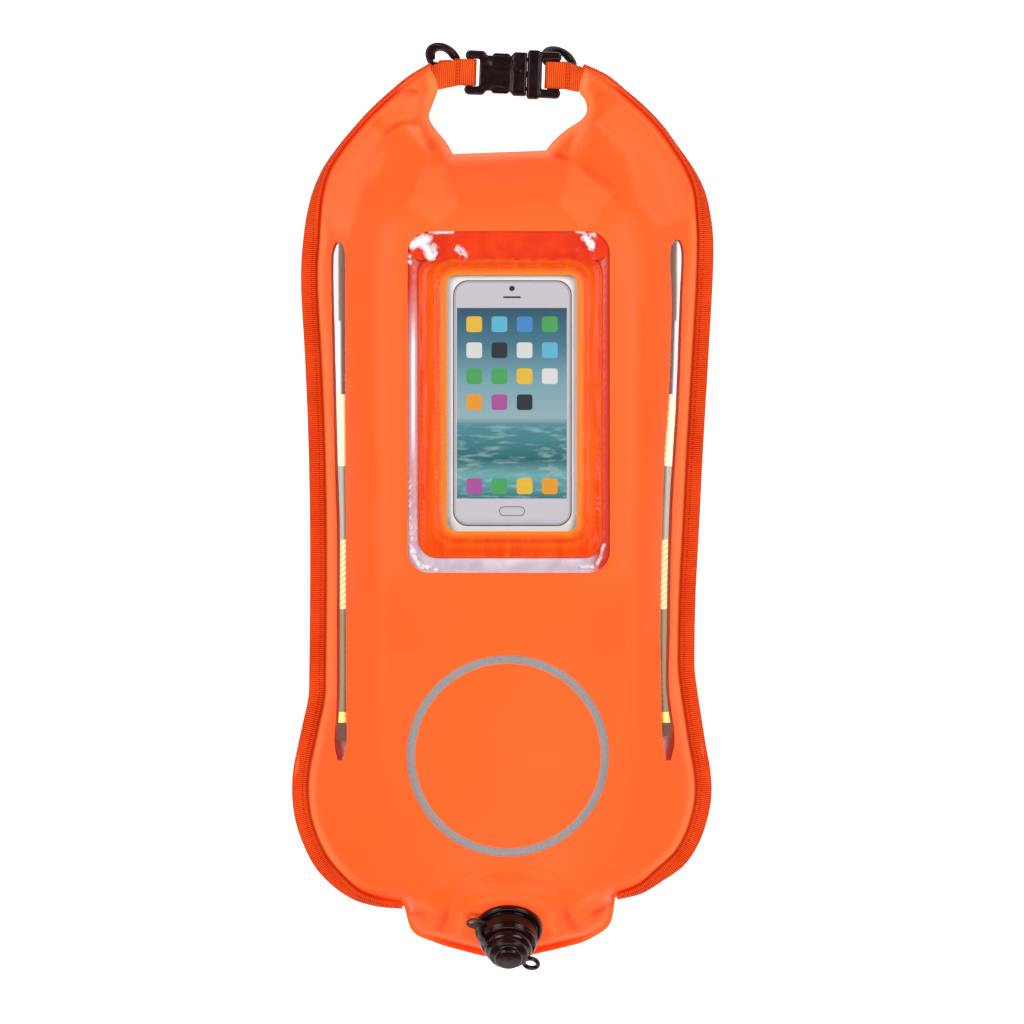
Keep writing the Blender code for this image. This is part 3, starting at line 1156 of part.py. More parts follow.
knob_top = cap_top + KNOB_HEIGHT
cap_inner = SPOUT_RADIUS + GAP
cap = turned_solid("valve_cap", [
    (cap_inner, cap_ceiling), (cap_inner, cap_foot), (CAP_RADIUS - SOFT_EDGE, cap_foot),
    (CAP_RADIUS, cap_foot + SOFT_EDGE), (CAP_RADIUS, cap_top - SOFT_EDGE), (CAP_RADIUS - SOFT_EDGE, cap_top),
    (KNOB_RADIUS, cap_top), (KNOB_RADIUS, cap_top + KNOB_HEIGHT / 2), (KNOB_RADIUS - SOFT_EDGE, knob_top - SOFT_EDGE),
    (KNOB_RADIUS - 3 * SOFT_EDGE, knob_top)], valve_plastic)
placed(cap, valve_frame)
pull_middle = CAP_RADIUS + CAP_LOOP_RADIUS - CAP_LOOP_ROD / 2
loop_height = cap_top - CAP_LOOP_ROD - SOFT_EDGE
pull_loop = tube_ring("cap_pull_loop", [(x, y, loop_height) for x, y in
                                        circle((pull_middle, 0), CAP_LOOP_RADIUS, CAP_LOOP_POINTS)],
                      Vector((0, 0, 1)), CAP_LOOP_ROD, valve_plastic)
combine(cap, placed(pull_loop, valve_frame @ Matrix.Rotation(CAP_LOOP_ANGLE, 4, "Z")), "UNION")
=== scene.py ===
"""Open water swim buoy: the finished pieces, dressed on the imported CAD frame.

All lengths are in metres. X runs across the bag, Y from the valve to the carrying loop, and Z up from the ground.
"""

import math

import bmesh
import bpy
import numpy as np
from mathutils import Matrix, Vector, geometry


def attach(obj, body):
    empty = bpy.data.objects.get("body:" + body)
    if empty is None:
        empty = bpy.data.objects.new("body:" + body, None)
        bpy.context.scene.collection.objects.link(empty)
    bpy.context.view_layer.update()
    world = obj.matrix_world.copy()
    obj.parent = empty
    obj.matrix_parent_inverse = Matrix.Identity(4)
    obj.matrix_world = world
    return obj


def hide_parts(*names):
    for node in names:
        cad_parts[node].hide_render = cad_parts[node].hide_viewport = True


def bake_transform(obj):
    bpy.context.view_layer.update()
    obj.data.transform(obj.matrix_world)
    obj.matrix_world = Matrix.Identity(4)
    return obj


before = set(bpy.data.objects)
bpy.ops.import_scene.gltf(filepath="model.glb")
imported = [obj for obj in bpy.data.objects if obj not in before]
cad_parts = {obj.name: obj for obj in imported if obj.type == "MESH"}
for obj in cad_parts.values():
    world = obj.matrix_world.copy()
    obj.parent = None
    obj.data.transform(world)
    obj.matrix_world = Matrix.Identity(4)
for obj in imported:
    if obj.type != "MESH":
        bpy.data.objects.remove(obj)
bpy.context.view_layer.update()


# Front of the bag
# One sheet of coated polyester, welded to the back sheet round its edge and blown up from behind. Its height is what a
# skin over that outline takes under pressure, with the creases that its folded mouth and its foot pull into it.

BAG_LENGTH = 0.668
BAG_WIDTH = 0.315
ORIGIN_SHARE = 0.505
SEAM_HEIGHT = 0.058
FRONT_RISE = 0.078
FULLNESS = 1.3
CLOTH_THICKNESS = 0.0006
LINER_THICKNESS = 0.0005
GAP = 0.0003
SEAM_STACK = CLOTH_THICKNESS + LINER_THICKNESS + 1.5 * GAP
WEBBING_WIDTH = 0.020
WEBBING_THICKNESS = 0.0013
LEAF = WEBBING_WIDTH / 2
WELD_WIDTH = 0.003
TINY = 1e-9

# Shares of half the width, of the length, and of how far a webbing leaf lies flat
LEFT_SIDE = (
    (-0.369, 1.000, 0.17), (-0.456, 0.988, 0.17), (-0.536, 0.973, 0.17), (-0.637, 0.952, 0.17),
    (-0.767, 0.918, 0.17), (-0.876, 0.883, 0.30), (-0.938, 0.847, 0.65), (-0.971, 0.802, 1.0),
    (-0.981, 0.752, 1.0), (-0.962, 0.668, 1.0), (-0.945, 0.568, 1.0), (-0.938, 0.445, 1.0),
    (-0.945, 0.297, 1.0), (-0.966, 0.270, 1.0), (-1.002, 0.230, 1.0), (-1.025, 0.193, 1.0),
    (-1.004, 0.149, 1.0), (-0.962, 0.123, 1.0), (-0.900, 0.097, 1.0), (-0.805, 0.076, 0.85),
    (-0.677, 0.060, 0.5), (-0.500, 0.055, 0.3),
)
FOOT = (
    (-0.483, 0.039), (-0.441, 0.028), (-0.355, 0.019), (-0.180, 0.008), (0.000, 0.000),
    (0.175, 0.009), (0.341, 0.018), (0.441, 0.028), (0.497, 0.044),
)
RIGHT_SIDE = (
    (0.519, 0.065, 0.3), (0.644, 0.073, 0.5), (0.763, 0.091, 0.85), (0.853, 0.108, 1.0),
    (0.919, 0.136, 1.0), (0.957, 0.168, 1.0), (0.965, 0.199, 1.0), (0.933, 0.245, 1.0),
    (0.907, 0.286, 1.0), (0.886, 0.320, 1.0), (0.889, 0.400, 1.0), (0.907, 0.484, 1.0),
    (0.926, 0.573, 1.0), (0.952, 0.679, 1.0), (0.973, 0.774, 1.0), (0.966, 0.822, 0.9),
    (0.919, 0.866, 0.5), (0.829, 0.899, 0.2), (0.711, 0.937, 0.17), (0.587, 0.964, 0.17),
    (0.474, 0.986, 0.17), (0.360, 0.999, 0.17),
)
HAND_GAP = (
    (0.336, 0.970), (0.365, 0.958), (0.374, 0.947), (0.351, 0.937), (0.275, 0.925), (0.218, 0.913),
    (0.180, 0.902), (-0.261, 0.898), (-0.294, 0.912), (-0.341, 0.925), (-0.374, 0.939),
    (-0.360, 0.951), (-0.341, 0.963), (-0.332, 0.975),
)


def place(share_x, share_y):
    """A share of the bag's half width and of its length, in metres."""
    return share_x * BAG_WIDTH / 2, (share_y - ORIGIN_SHARE) * BAG_LENGTH


def unit(vectors, least=0.0):
    """Rows of vectors, each brought to length 1."""
    return vectors / (np.linalg.norm(vectors, axis=-1, keepdims=True) + least)


def lengths(line):
    """How far along a line each of its points lies."""
    return np.concatenate([[0], np.cumsum(np.linalg.norm(np.diff(line, axis=0), axis=1))])


def resampled(rows, gone, wanted):
    """Rows at wanted lengths, from rows whose own lengths are known."""
    return np.stack([np.interp(wanted, gone, column) for column in rows.T], axis=1)


def flowing(rows, step):
    """A smooth curve through rows of numbers, x and y first, with a point every step."""
    rows = np.array(rows, float)
    padded = np.vstack([2 * rows[0] - rows[1], rows, 2 * rows[-1] - rows[-2]])
    fine = []
    for i in range(1, len(padded) - 2):
        before, start, end, after = padded[i - 1:i + 3]
        for t in np.linspace(0, 1, 12, endpoint=False):
            fine.append(0.5 * (2 * start + (end - before) * t
                               + (2 * before - 5 * start + 4 * end - after) * t ** 2
                               + (3 * start - before - 3 * end + after) * t ** 3))
    fine = np.array(fine + [rows[-1]])
    gone = lengths(fine[:, :2])
    return resampled(fine, gone, np.linspace(0, gone[-1], max(2, round(gone[-1] / step)) + 1))


def inset(loop, distances):
    """A counter-clockwise loop, moved inwards."""
    ahead = unit(np.roll(loop, -1, axis=0) - loop, TINY)
    run = unit(ahead + np.roll(ahead, 1, axis=0), TINY)
    return loop + np.stack([-run[:, 1], run[:, 0]], axis=1) * np.broadcast_to(distances, len(loop))[:, None]


def contains(loop, points):
    result = np.zeros(len(points), bool)
    for (x0, y0), (x1, y1) in zip(loop, np.roll(loop, -1, axis=0)):
        crosses = (y0 > points[:, 1]) != (y1 > points[:, 1])
        at = x0 + (points[:, 1] - y0) * (x1 - x0) / (y1 - y0 if y1 != y0 else TINY)
        result ^= crosses & (points[:, 0] < at)
    return result


def edge_distance(loop, points, closed=True):
    """How far points lie from a loop or an open line."""
    ends = np.roll(loop, -1, axis=0) if closed else loop[1:]
    nearest = np.full(len(points), np.inf)
    for start, end in zip(loop, ends):
        run = end - start
        share = np.clip(((points - start) @ run) / (run @ run + TINY ** 2), 0, 1)
        away = points - (start + share[:, None] * run)
        nearest = np.minimum(nearest, np.hypot(away[:, 0], away[:, 1]))
    return nearest


def ease(value):
    value = np.clip(value, 0, 1)
    return value * value * (3 - 2 * value)


def close_to(loop, points, within, fade):
    """1 within a distance of a loop, and 0 where that has faded out."""
    return 1 - ease((edge_distance(loop, points) - within) / fade)


def stepped(corners, step):
    """A closed polygon with a point about every step."""
    loop = []
    for start, end in zip(corners, np.roll(corners, -1, axis=0)):
        count = max(1, round(math.dist(start, end) / step))
        loop += [start + (end - start) * i / count for i in range(count)]
    return np.array(loop)


def rounded_rectangle(centre, size, corner, step):
    loop = []
    arc_steps = max(4, round(corner * math.pi / 2 / step))
    for quarter, (sx, sy) in enumerate(((1, 1), (-1, 1), (-1, -1), (1, -1))):
        middle = np.array(centre) + (sx * (size[0] / 2 - corner), sy * (size[1] / 2 - corner))
        for i in range(arc_steps + 1):
            turn = math.pi / 2 * (quarter + i / arc_steps)
            loop.append(middle + corner * np.array((math.cos(turn), math.sin(turn))))
    return stepped(np.array(loop), step)


def circle(centre, radius, count, squash=1.0):
    turns = np.arange(count) * 2 * math.pi / count
    return np.stack([centre[0] + radius * np.cos(turns), centre[1] + squash * radius * np.sin(turns)], axis=1)


# The outline and its insets, first at the spacing of the CAD solids and then fine
OUTLINE_STEP = 0.019
left_rows = flowing([(*place(x, y), leaf) for x, y, leaf in LEFT_SIDE], OUTLINE_STEP)
right_rows = flowing([(*place(x, y), leaf) for x, y, leaf in RIGHT_SIDE], OUTLINE_STEP)
foot_points = flowing([place(x, y) for x, y in (LEFT_SIDE[-1][:2], *FOOT, RIGHT_SIDE[0][:2])], OUTLINE_STEP)[1:-1]
gap_points = np.array([place(x, y) for x, y in HAND_GAP])
outline = np.vstack([left_rows[:, :2], foot_points, right_rows[:, :2], gap_points])
n_left, n_foot, n_right = len(left_rows), len(foot_points), len(right_rows)
n_sides = n_left + n_foot + n_right
bound = np.concatenate([np.ones(n_left), np.zeros(n_foot), np.ones(n_right), np.zeros(len(gap_points))])
leaf_shares = np.concatenate([left_rows[:, 2], np.zeros(n_foot), right_rows[:, 2], np.zeros(len(gap_points))])
leaf_shares = np.clip(leaf_shares, 0, 1)
plain_seams = np.concatenate([np.zeros(n_left), np.full(n_foot, WELD_WIDTH), np.zeros(n_right),
                              np.full(len(gap_points), 0.0008)])
seam_insets = bound * (WEBBING_THICKNESS + LEAF * leaf_shares + 0.0008) + plain_seams
cloth_insets = bound * (WEBBING_THICKNESS + GAP)
cloth_insets[[0, n_left - 1, n_left + n_foot, n_sides - 1]] *= 1.5


GAP_FOOT = 6               # the hand gap's straight foot runs from this point of its own to the next


def gap_runs(loop):
    """The hand gap's right side, its foot and its left side, as open lines of an outline."""
    foot = n_sides + GAP_FOOT
    return loop[n_sides - 1:foot + 1], loop[foot:foot + 2], np.vstack([loop[foot + 1:], loop[:1]])


def refined(loop, step):
    """The same loop with a point every step, smooth but for the ends of the webbing and the hand gap's corners."""
    runs = (loop[:n_left], loop[n_left - 1:n_left + n_foot + 1], loop[n_left + n_foot:n_sides], *gap_runs(loop))
    return np.vstack([flowing(run, step)[:-1] for run in runs])


EDGE_STEP = 0.003
coarse_seam = inset(outline, seam_insets)
seam_loop = refined(coarse_seam, EDGE_STEP)
cloth_loop = refined(inset(outline, cloth_insets), EDGE_STEP)


def inflated(loop, step=0.004, rounds=420, relax=1.95):
    """The height that a skin over a loop takes under pressure, from 0 at its edge to 1 at its crown."""
    low = loop.min(axis=0) - 2 * step
    counts = np.ceil((loop.max(axis=0) - low) / step).astype(int) + 3
    xs, ys = (low[i] + np.arange(counts[i]) * step for i in (0, 1))
    places = np.stack(np.meshgrid(xs, ys, indexing="ij"), axis=-1).reshape(-1, 2)
    inside = contains(loop, places).reshape(counts)
    distance = edge_distance(loop, places).reshape(counts)
    colour = np.indices(counts).sum(axis=0) % 2
    cells = [inside & (colour == parity) for parity in (0, 1)]
    level = np.zeros(counts)
    for _ in range(rounds):
        for chosen in cells:
            around = sum(np.roll(level, way, axis) for way in (1, -1) for axis in (0, 1))
            level[chosen] += relax * ((around[chosen] + step ** 2) / 4 - level[chosen])
    # Near the edge the level goes as the distance, so there it is their ratio that is interpolated
    known = inside & (distance > 1.5 * step)
    ratio = np.where(known, level / (distance + TINY), 0.0)
    for _ in range(5):
        count = sum(np.roll(known, way, axis).astype(float) for way in (1, -1) for axis in (0, 1))
        total = sum(np.roll(ratio, way, axis) for way in (1, -1) for axis in (0, 1))
        fresh = ~known & (count > 0)
        ratio[fresh] = total[fresh] / count[fresh]
        known = known | fresh

    def sampled(grid, points):
        spot = (points - low) / step
        cell = np.floor(spot).astype(int)
        part = spot - cell
        weights = [(-t ** 3 + 2 * t ** 2 - t, 3 * t ** 3 - 5 * t ** 2 + 2,
                    -3 * t ** 3 + 4 * t ** 2 + t, t ** 3 - t ** 2) for t in part.T]
        total = 0
        for i in range(4):
            for j in range(4):
                at = np.clip(cell + (i - 1, j - 1), 0, counts - 1)
                total = total + weights[0][i] * weights[1][j] / 4 * grid[at[:, 0], at[:, 1]]
        return total

    crown = math.sqrt(2 * level.max())

    def height(points):
        points = np.asarray(points, float)
        away = edge_distance(loop, points)
        inner = ease((away - 0.010) / 0.014)
        value = inner * sampled(level, points) + (1 - inner) * sampled(ratio, points) * away
        value = np.where(contains(loop, points), np.sqrt(np.maximum(2 * value, 0)), 0.0)
        return (value / crown) ** FULLNESS
    return height


WINDOW_CENTRE = np.array((0.0006, 0.0768))
WINDOW_SIZE = np.array((0.1494, 0.252))
WINDOW_CORNER = 0.016
VALVE_CENTRE = np.array((0.0004, -0.3126))
VALVE_RISE = 0.0345
VALVE_TILT = math.radians(45)
FLANGE_RADIUS = 0.025
NECK_HOLE = 0.0165
front_shape = inflated(seam_loop)

# Folds, as lines in millimetres, half their breadth, and how high they stand or how deep they lie, in millimetres.
# The last number leans one: its one side stands higher than its other.
FOLDS = (
    # Round the left horn's foot, where the rolled mouth pulls the front into a star
    (((-58.5, 261.5), (-54.5, 268), (-49.5, 275.5)), 3.6, -3.0, 0.6),
    (((-59.8, 261.5), (-53, 274), (-46, 282)), 3.0, 1.8, -0.4),
    (((-59.8, 261.5), (-70, 278), (-78, 292)), 5.5, 2.0, 0.5),
    (((-91, 276.5), (-101, 254), (-108.7, 231.7)), 5.0, 1.6, 0.6),
    (((-92, 275.5), (-82, 283), (-75, 285), (-65, 283.5)), 2.6, -2.2, 0.8),
    (((-98, 297), (-86, 305), (-76, 309), (-66, 308)), 2.6, -2.6, 1.0),
    (((-85, 265), (-96, 255), (-104, 240)), 8.0, 1.2, 0.3),
    (((-59.8, 261.5), (-62, 244), (-68, 222)), 7.5, 1.1, 0.4),
    (((-52, 258), (-44, 240), (-44, 222)), 8.0, -0.8, 0.3),
    (((-74, 296), (-70, 304), (-64, 311)), 3.2, 1.3, 0.4),
    # Round the right horn's foot
    (((46.5, 258), (38, 261.5), (29, 263)), 3.2, -3.0, 0.7),
    (((48.5, 257), (58, 248), (83, 225)), 6.5, -1.5, 0.7),
    (((48.5, 257), (56, 272), (64, 288)), 5.0, 1.9, -0.5),
    (((66, 289), (71, 282), (76, 277)), 4.2, 1.6, 0.4),
    (((85, 273), (93, 258), (99, 243)), 6.0, 1.3, 0.5),
    (((113, 258), (120, 238), (125, 217)), 7.0, 1.2, 0.4),
    (((48.5, 257), (46, 240), (41, 222)), 7.5, 0.9, -0.3),
    (((58, 300), (66, 306), (74, 309)), 2.6, -1.2, 0.7),
    # Puckers between the foot's corners and the valve
    (((-84, -304), (-75, -306), (-62, -303)), 3.6, -3.0, 0.7),
    (((-80, -296), (-66, -296), (-52, -302)), 5.0, 2.4, 0.3),
    (((-52, -318), (-46, -308), (-44, -297)), 4.5, -2.4, 0.5),
    (((-38, -322), (-34, -311), (-35, -299)), 4.5, 2.2, 0.4),
    (((80, -293), (70, -298), (60, -304)), 3.8, -3.2, 0.7),
    (((76, -287), (62, -290), (50, -298)), 5.0, 2.4, 0.4),
    (((54, -316), (46, -306), (43, -295)), 4.5, -2.6, 0.5),
    (((36, -320), (33, -309), (33, -298)), 4.5, 2.2, 0.4),
    (((-118, -282), (-96, -284), (-82, -292)), 7.0, 0.9, 0.3),
    (((112, -276), (94, -280), (80, -286)), 7.0, 0.9, 0.3),
    # Long soft bands down the body, beside the flat that the pouch makes
    (((-98, 200), (-96, 60), (-94, -120), (-92, -240)), 11.0, 1.0, 0.3),
    (((93, 195), (95, 60), (92, -120), (88, -240)), 11.0, 1.0, -0.3),
)


FOLD_BREADTH, FOLD_RISE = 0.95, 1.35
SOFT_FOLD = 7.4            # half breadth in millimetres, from which a fold has no sharp line


def folded(points):
    """How far the folds lift each point."""
    lift = np.zeros(len(points))
    for line, breadth, rise, lean in FOLDS:
        line = flowing(np.array(line) / 1000, 0.004)
        breadth, rise = breadth * FOLD_BREADTH / 1000, rise * FOLD_RISE / 1000
        near = np.full(len(points), np.inf)
        side = np.zeros(len(points))
        share = np.zeros(len(points))
        for i, (start, end) in enumerate(zip(line, line[1:])):
            run = end - start
            along = np.clip(((points - start) @ run) / (run @ run), 0, 1)
            away = points - (start + along[:, None] * run)
            gone = np.hypot(away[:, 0], away[:, 1])
            closer = gone < near
            near[closer] = gone[closer]
            side[closer] = np.sign(run[0] * away[closer, 1] - run[1] * away[closer, 0])
            share[closer] = (i + along[closer]) / (len(line) - 1)
        reach = near / breadth
        taper = np.sqrt(np.clip(np.sin(np.pi * np.clip(share * 0.94 + 0.05, 0, 1)), 0, 1))
        line_shape = reach ** (2.0 if breadth > SOFT_FOLD * FOLD_BREADTH / 1000 else 1.15)
        ridge = np.exp(-line_shape) - 0.35 * np.exp(-(reach / 2.2) ** 2)
        leaning = lean * side * reach * np.exp(-reach ** 2)
        lift += rise * taper * (ridge + leaning)
    return lift


# Facets between the folds that face the light, in millimetres, with how pale the painted light on each is
LIT_FACETS = (
    (((-76, 283), (-66, 283.5), (-58.5, 260)), 1.0),
    (((-110, 289), (-93, 277), (-101, 254), (-109, 231), (-118, 200), (-132, 205), (-137, 240), (-126, 268)), 0.42),
    (((-97, 295), (-84, 303), (-68, 306), (-66, 290), (-82, 287), (-92, 283)), 0.38),
    (((-74, 220), (-63, 250), (-48, 255), (-36, 222), (-52, 208)), 0.30),
    (((46.5, 259), (51, 286), (62, 283)), 0.95),
    (((64, 284), (86, 262), (96, 225), (112, 205), (134, 215), (128, 258), (106, 285), (82, 301)), 0.32),
    (((47, 255), (38, 222), (58, 205), (80, 232)), 0.28),
)


def facet_light(points):
    """How pale the painted light on the facets makes each point, with soft edges."""
    total = np.zeros(len(points))
    for corners, strength in LIT_FACETS:
        corners = np.array(corners) / 1000
        depth = edge_distance(corners, points) * np.where(contains(corners, points), 1, -1)
        total = np.maximum(total, strength * ease(0.5 + depth / 0.005))
    return total


def rumpled(points, seed, size, amount):
    """Gentle waves of about one size, the same on every run."""
    chance = np.random.default_rng(seed)
    wave = np.zeros(len(points))
    for _ in range(9):
        way = chance.uniform(0, 2 * math.pi)
        length = size * chance.uniform(0.7, 1.5)
        wave += np.sin((points @ (math.cos(way), math.sin(way))) * 2 * math.pi / length + chance.uniform(0, 6.28))
    return wave * amount / 3


POUCH_PULL, POUCH_REACH = 0.62, 0.065       # how much the pouch flattens the front, and how far round its window
POUCH_LEVEL, POUCH_FALL = 0.0735, 0.007     # the flat's height at its foot, and how far it falls to its head
FLAT_FROM = 0.0446                          # height of the plain skin, from which it flattens in full
SEAT_REACH, SEAT_FADE = 1.08, 1.6           # of the valve's seat, in radii of its flange


def off_window(points):
    """How far points lie outside the window's rectangle."""
    return np.hypot(*np.maximum(np.abs(points - WINDOW_CENTRE) - WINDOW_SIZE / 2, 0).T)


def off_valve(points):
    """How far points lie from the valve's middle, in radii of its flange."""
    out = points - VALVE_CENTRE
    return np.hypot(out[:, 0], out[:, 1] / math.cos(VALVE_TILT)) / FLANGE_RADIUS


def front_base(points):
    """The front's outer face over the seams, without its creases."""
    points = np.asarray(points, float)
    natural = FRONT_RISE * front_shape(points)
    near_window = POUCH_PULL * (1 - ease(off_window(points) / POUCH_REACH))
    flat = POUCH_LEVEL - POUCH_FALL * ((points[:, 1] - WINDOW_CENTRE[1]) / WINDOW_SIZE[1] + 0.5)
    shaped = natural + near_window * (flat - natural) * ease(natural / FLAT_FROM)
    near_valve = 1 - ease((off_valve(points) - SEAT_REACH) / SEAT_FADE)
    near_valve *= ease(edge_distance(seam_loop, points) / 0.004)
    seat = VALVE_RISE - SEAM_STACK + (points[:, 1] - VALVE_CENTRE[1]) * math.tan(VALVE_TILT)
    return SEAM_STACK + shaped + near_valve * (seat - shaped)


def front_height(points):
    """The front's outer face over the seams, as it is."""
    points = np.asarray(points, float)
    off_edge = edge_distance(seam_loop, points)
    free = ease((off_valve(points) - 1.1) / 0.5) * ease(off_window(points) / 0.014)
    creases = ease(off_edge / 0.0045) * folded(points)
    gathers = np.exp(-((off_edge - 0.012) / 0.010) ** 2) * rumpled(points, 5, 0.034, 0.00045)
    return front_base(points) + free * (creases + ease(off_edge / 0.010) * (gathers + rumpled(points, 3, 0.11, 0.0006)))


def lattice(loop, step, margin):
    """Points of a triangular grid inside a loop."""
    low, high = loop.min(axis=0), loop.max(axis=0)
    row_step = step * math.sqrt(3) / 2
    rows, columns = np.meshgrid(np.arange(math.floor(low[1] / row_step), math.ceil(high[1] / row_step) + 1),
                                np.arange(math.floor(low[0] / step) - 1, math.ceil(high[0] / step) + 1), indexing="ij")
    points = np.stack([columns * step + (rows % 2) * step / 2, rows * row_step], axis=-1).reshape(-1, 2)
    points = points[contains(loop, points)]
    return points[edge_distance(loop, points) > margin]


ROW_SHARE = 0.85           # of a row's inset, that each of its points has to keep from the loop


def beside(loop, insets):
    """Rows of points that follow a loop inside it."""
    rows = []
    for distance in insets:
        row = inset(loop, distance)
        row = row[contains(loop, row)]
        rows.append(row[edge_distance(loop, row) > distance * ROW_SHARE])
    return np.vstack(rows)


def triangulated(loops, extra, holes=()):
    """Triangles of the first loop that keep to every loop, without the holes."""
    verts, edges = [], []
    for loop in (*loops, *holes):
        first = len(verts)
        verts += [Vector(p) for p in loop]
        edges += [(first + i, first + (i + 1) % len(loop)) for i in range(len(loop))]
    verts += [Vector(p) for p in extra]
    points, _, faces = geometry.delaunay_2d_cdt(verts, edges, [], 0, TINY)[:3]
    points = np.array([tuple(p) for p in points])
    faces = np.array(faces)
    a, b, c = (points[faces[:, i]] for i in range(3))
    turned = (b[:, 0] - a[:, 0]) * (c[:, 1] - a[:, 1]) - (b[:, 1] - a[:, 1]) * (c[:, 0] - a[:, 0]) < 0
    faces[turned] = faces[turned][:, ::-1]
    middle = (a + b + c) / 3
    kept = contains(loops[0], middle)
    for hole in holes:
        kept &= ~contains(hole, middle)
    return points, faces[kept]


def new_piece(name, points, faces, material=None):
    mesh = bpy.data.meshes.new(name)
    mesh.from_pydata(np.asarray(points).tolist(), [], [list(map(int, f)) for f in faces])
    mesh.validate()
    if material:
        mesh.materials.append(material)
    made = bpy.data.objects.new(name, mesh)
    bpy.context.scene.collection.objects.link(made)
    return made


def softened(piece, angle):
    piece.data.shade_smooth()
    piece.data.set_sharp_from_angle(angle=math.radians(angle))
    return piece


def closed_sheet(name, upper, under, faces, material, angle):
    """A closed piece between two faces of the same triangles."""
    edges = {(int(f[i]), int(f[(i + 1) % 3])) for f in faces for i in range(3)}
    count = len(upper)
    walls = [(b, a, a + count, b + count) for a, b in sorted(edges) if (b, a) not in edges]
    return softened(new_piece(name, np.vstack([upper, under]),
                              [*faces.tolist(), *(faces[:, ::-1] + count).tolist(), *walls], material), angle)


def skin(name, outer, faces, thickness, material):
    """A closed sheet, from its outer side and its thickness."""
    used, faces = np.unique(faces, return_inverse=True)
    faces = faces.reshape(-1, 3)
    outer = outer[used]
    a, b, c = (outer[faces[:, i]] for i in range(3))
    normals = np.zeros_like(outer)
    for corner in range(3):
        np.add.at(normals, faces[:, corner], np.cross(b - a, c - a))
    return closed_sheet(name, outer, outer - unit(normals, TINY ** 2) * thickness, faces, material, 50)


def fitted(piece, node_names, body):
    """Puts a finished piece in the place of its CAD nodes."""
    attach(piece, body)
    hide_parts(*node_names)
    return piece


# Material helpers: nodes, and groups of nodes that more than one finish uses

def node(tree, kind, sockets=(), **settings):
    """Adds a node. Its sockets are set or linked by name or number."""
    made = tree.nodes.new(kind)
    for key, value in settings.items():
        setattr(made, key, value)
    for socket, value in dict(sockets).items():
        if isinstance(value, bpy.types.NodeSocket):
            tree.links.new(value, made.inputs[socket])
        else:
            made.inputs[socket].default_value = value
    return made


def calc(tree, operation, first, second=0.0, third=0.0):
    return node(tree, "ShaderNodeMath", {0: first, 1: second, 2: third}, operation=operation).outputs[0]


def blended(tree, factor, first, second, blend="MIX"):
    """Two colours, or a colour and a socket, mixed by a factor."""
    first, second = ((*v, 1.0) if isinstance(v, tuple) and len(v) == 3 else v for v in (first, second))
    return node(tree, "ShaderNodeMix", {0: factor, 6: first, 7: second}, data_type="RGBA",
                blend_type=blend).outputs[2]


def spread(tree, value, low, high, to_low=0.0, to_high=1.0):
    """A value from one range, brought to another."""
    return node(tree, "ShaderNodeMapRange", {0: value, 1: low, 2: high, 3: to_low, 4: to_high}).outputs[0]


def ramped(tree, value, stops, interpolation="LINEAR"):
    """A colour for each value, from stops of a place and a colour."""
    made = node(tree, "ShaderNodeValToRGB", {0: value})
    made.color_ramp.interpolation = interpolation
    for index, (at, colour) in enumerate(stops):
        stop = made.color_ramp.elements[index] if index < 2 else made.color_ramp.elements.new(at)
        stop.position = at
        stop.color = (*colour, 1.0)
    return made.outputs[0]


def split(tree, vector):
    """The X, Y and Z of a vector."""
    return node(tree, "ShaderNodeSeparateXYZ", {0: vector}).outputs


def stretched(tree, vector, scale, turn=(0.0, 0.0, 0.0)):
    return node(tree, "ShaderNodeMapping", {"Vector": vector, "Rotation": turn, "Scale": scale}).outputs[0]


def painted_value(tree, name):
    """What painted() kept on the piece under a name."""
    return node(tree, "ShaderNodeAttribute", attribute_name=name).outputs["Fac"]


def product(tree, first, *others):
    for other in others:
        first = calc(tree, "MULTIPLY", first, other)
    return first


def effect(name, inputs, outputs):
    """An empty node group for a shader effect, with its ends."""
    tree = bpy.data.node_groups.new(name, "ShaderNodeTree")
    for label, kind, value in inputs:
        socket = tree.interface.new_socket(label, in_out="INPUT", socket_type="NodeSocket" + kind)
        if value is not None:
            socket.default_value = value
    for label in outputs:
        tree.interface.new_socket(label, in_out="OUTPUT", socket_type="NodeSocketFloat")
    return tree, tree.nodes.new("NodeGroupInput").outputs, tree.nodes.new("NodeGroupOutput").inputs


def finish(name, colour, roughness, **sockets):
    """A material whose shader holds its plain values. Returns it with its tree and shader."""
    material = bpy.data.materials.new(name)
    material.use_nodes = True
    tree = material.node_tree
    shader = next(n for n in tree.nodes if n.type == "BSDF_PRINCIPLED")
    shader.inputs["Base Color"].default_value = (*colour, 1.0)
    shader.inputs["Roughness"].default_value = roughness
    for socket, value in sockets.items():
        shader.inputs[socket.replace("_", " ")].default_value = value
    return material, tree, shader


def bumped(tree, shader, height, distance, strength=1.0):
    made = node(tree, "ShaderNodeBump", {"Strength": strength, "Distance": distance, "Height": height})
    tree.links.new(made.outputs[0], shader.inputs["Normal"])


def position_of(tree):
    return node(tree, "ShaderNodeTexCoord").outputs["Object"]


def noise(tree, vector, size, detail=2.0, roughness=0.5, distortion=0.0):
    """Noise whose blotches are about one size, in metres."""
    return node(tree, "ShaderNodeTexNoise", {"Vector": vector, "Scale": 1 / size, "Detail": detail,
                                             "Roughness": roughness, "Distortion": distortion}).outputs[0]


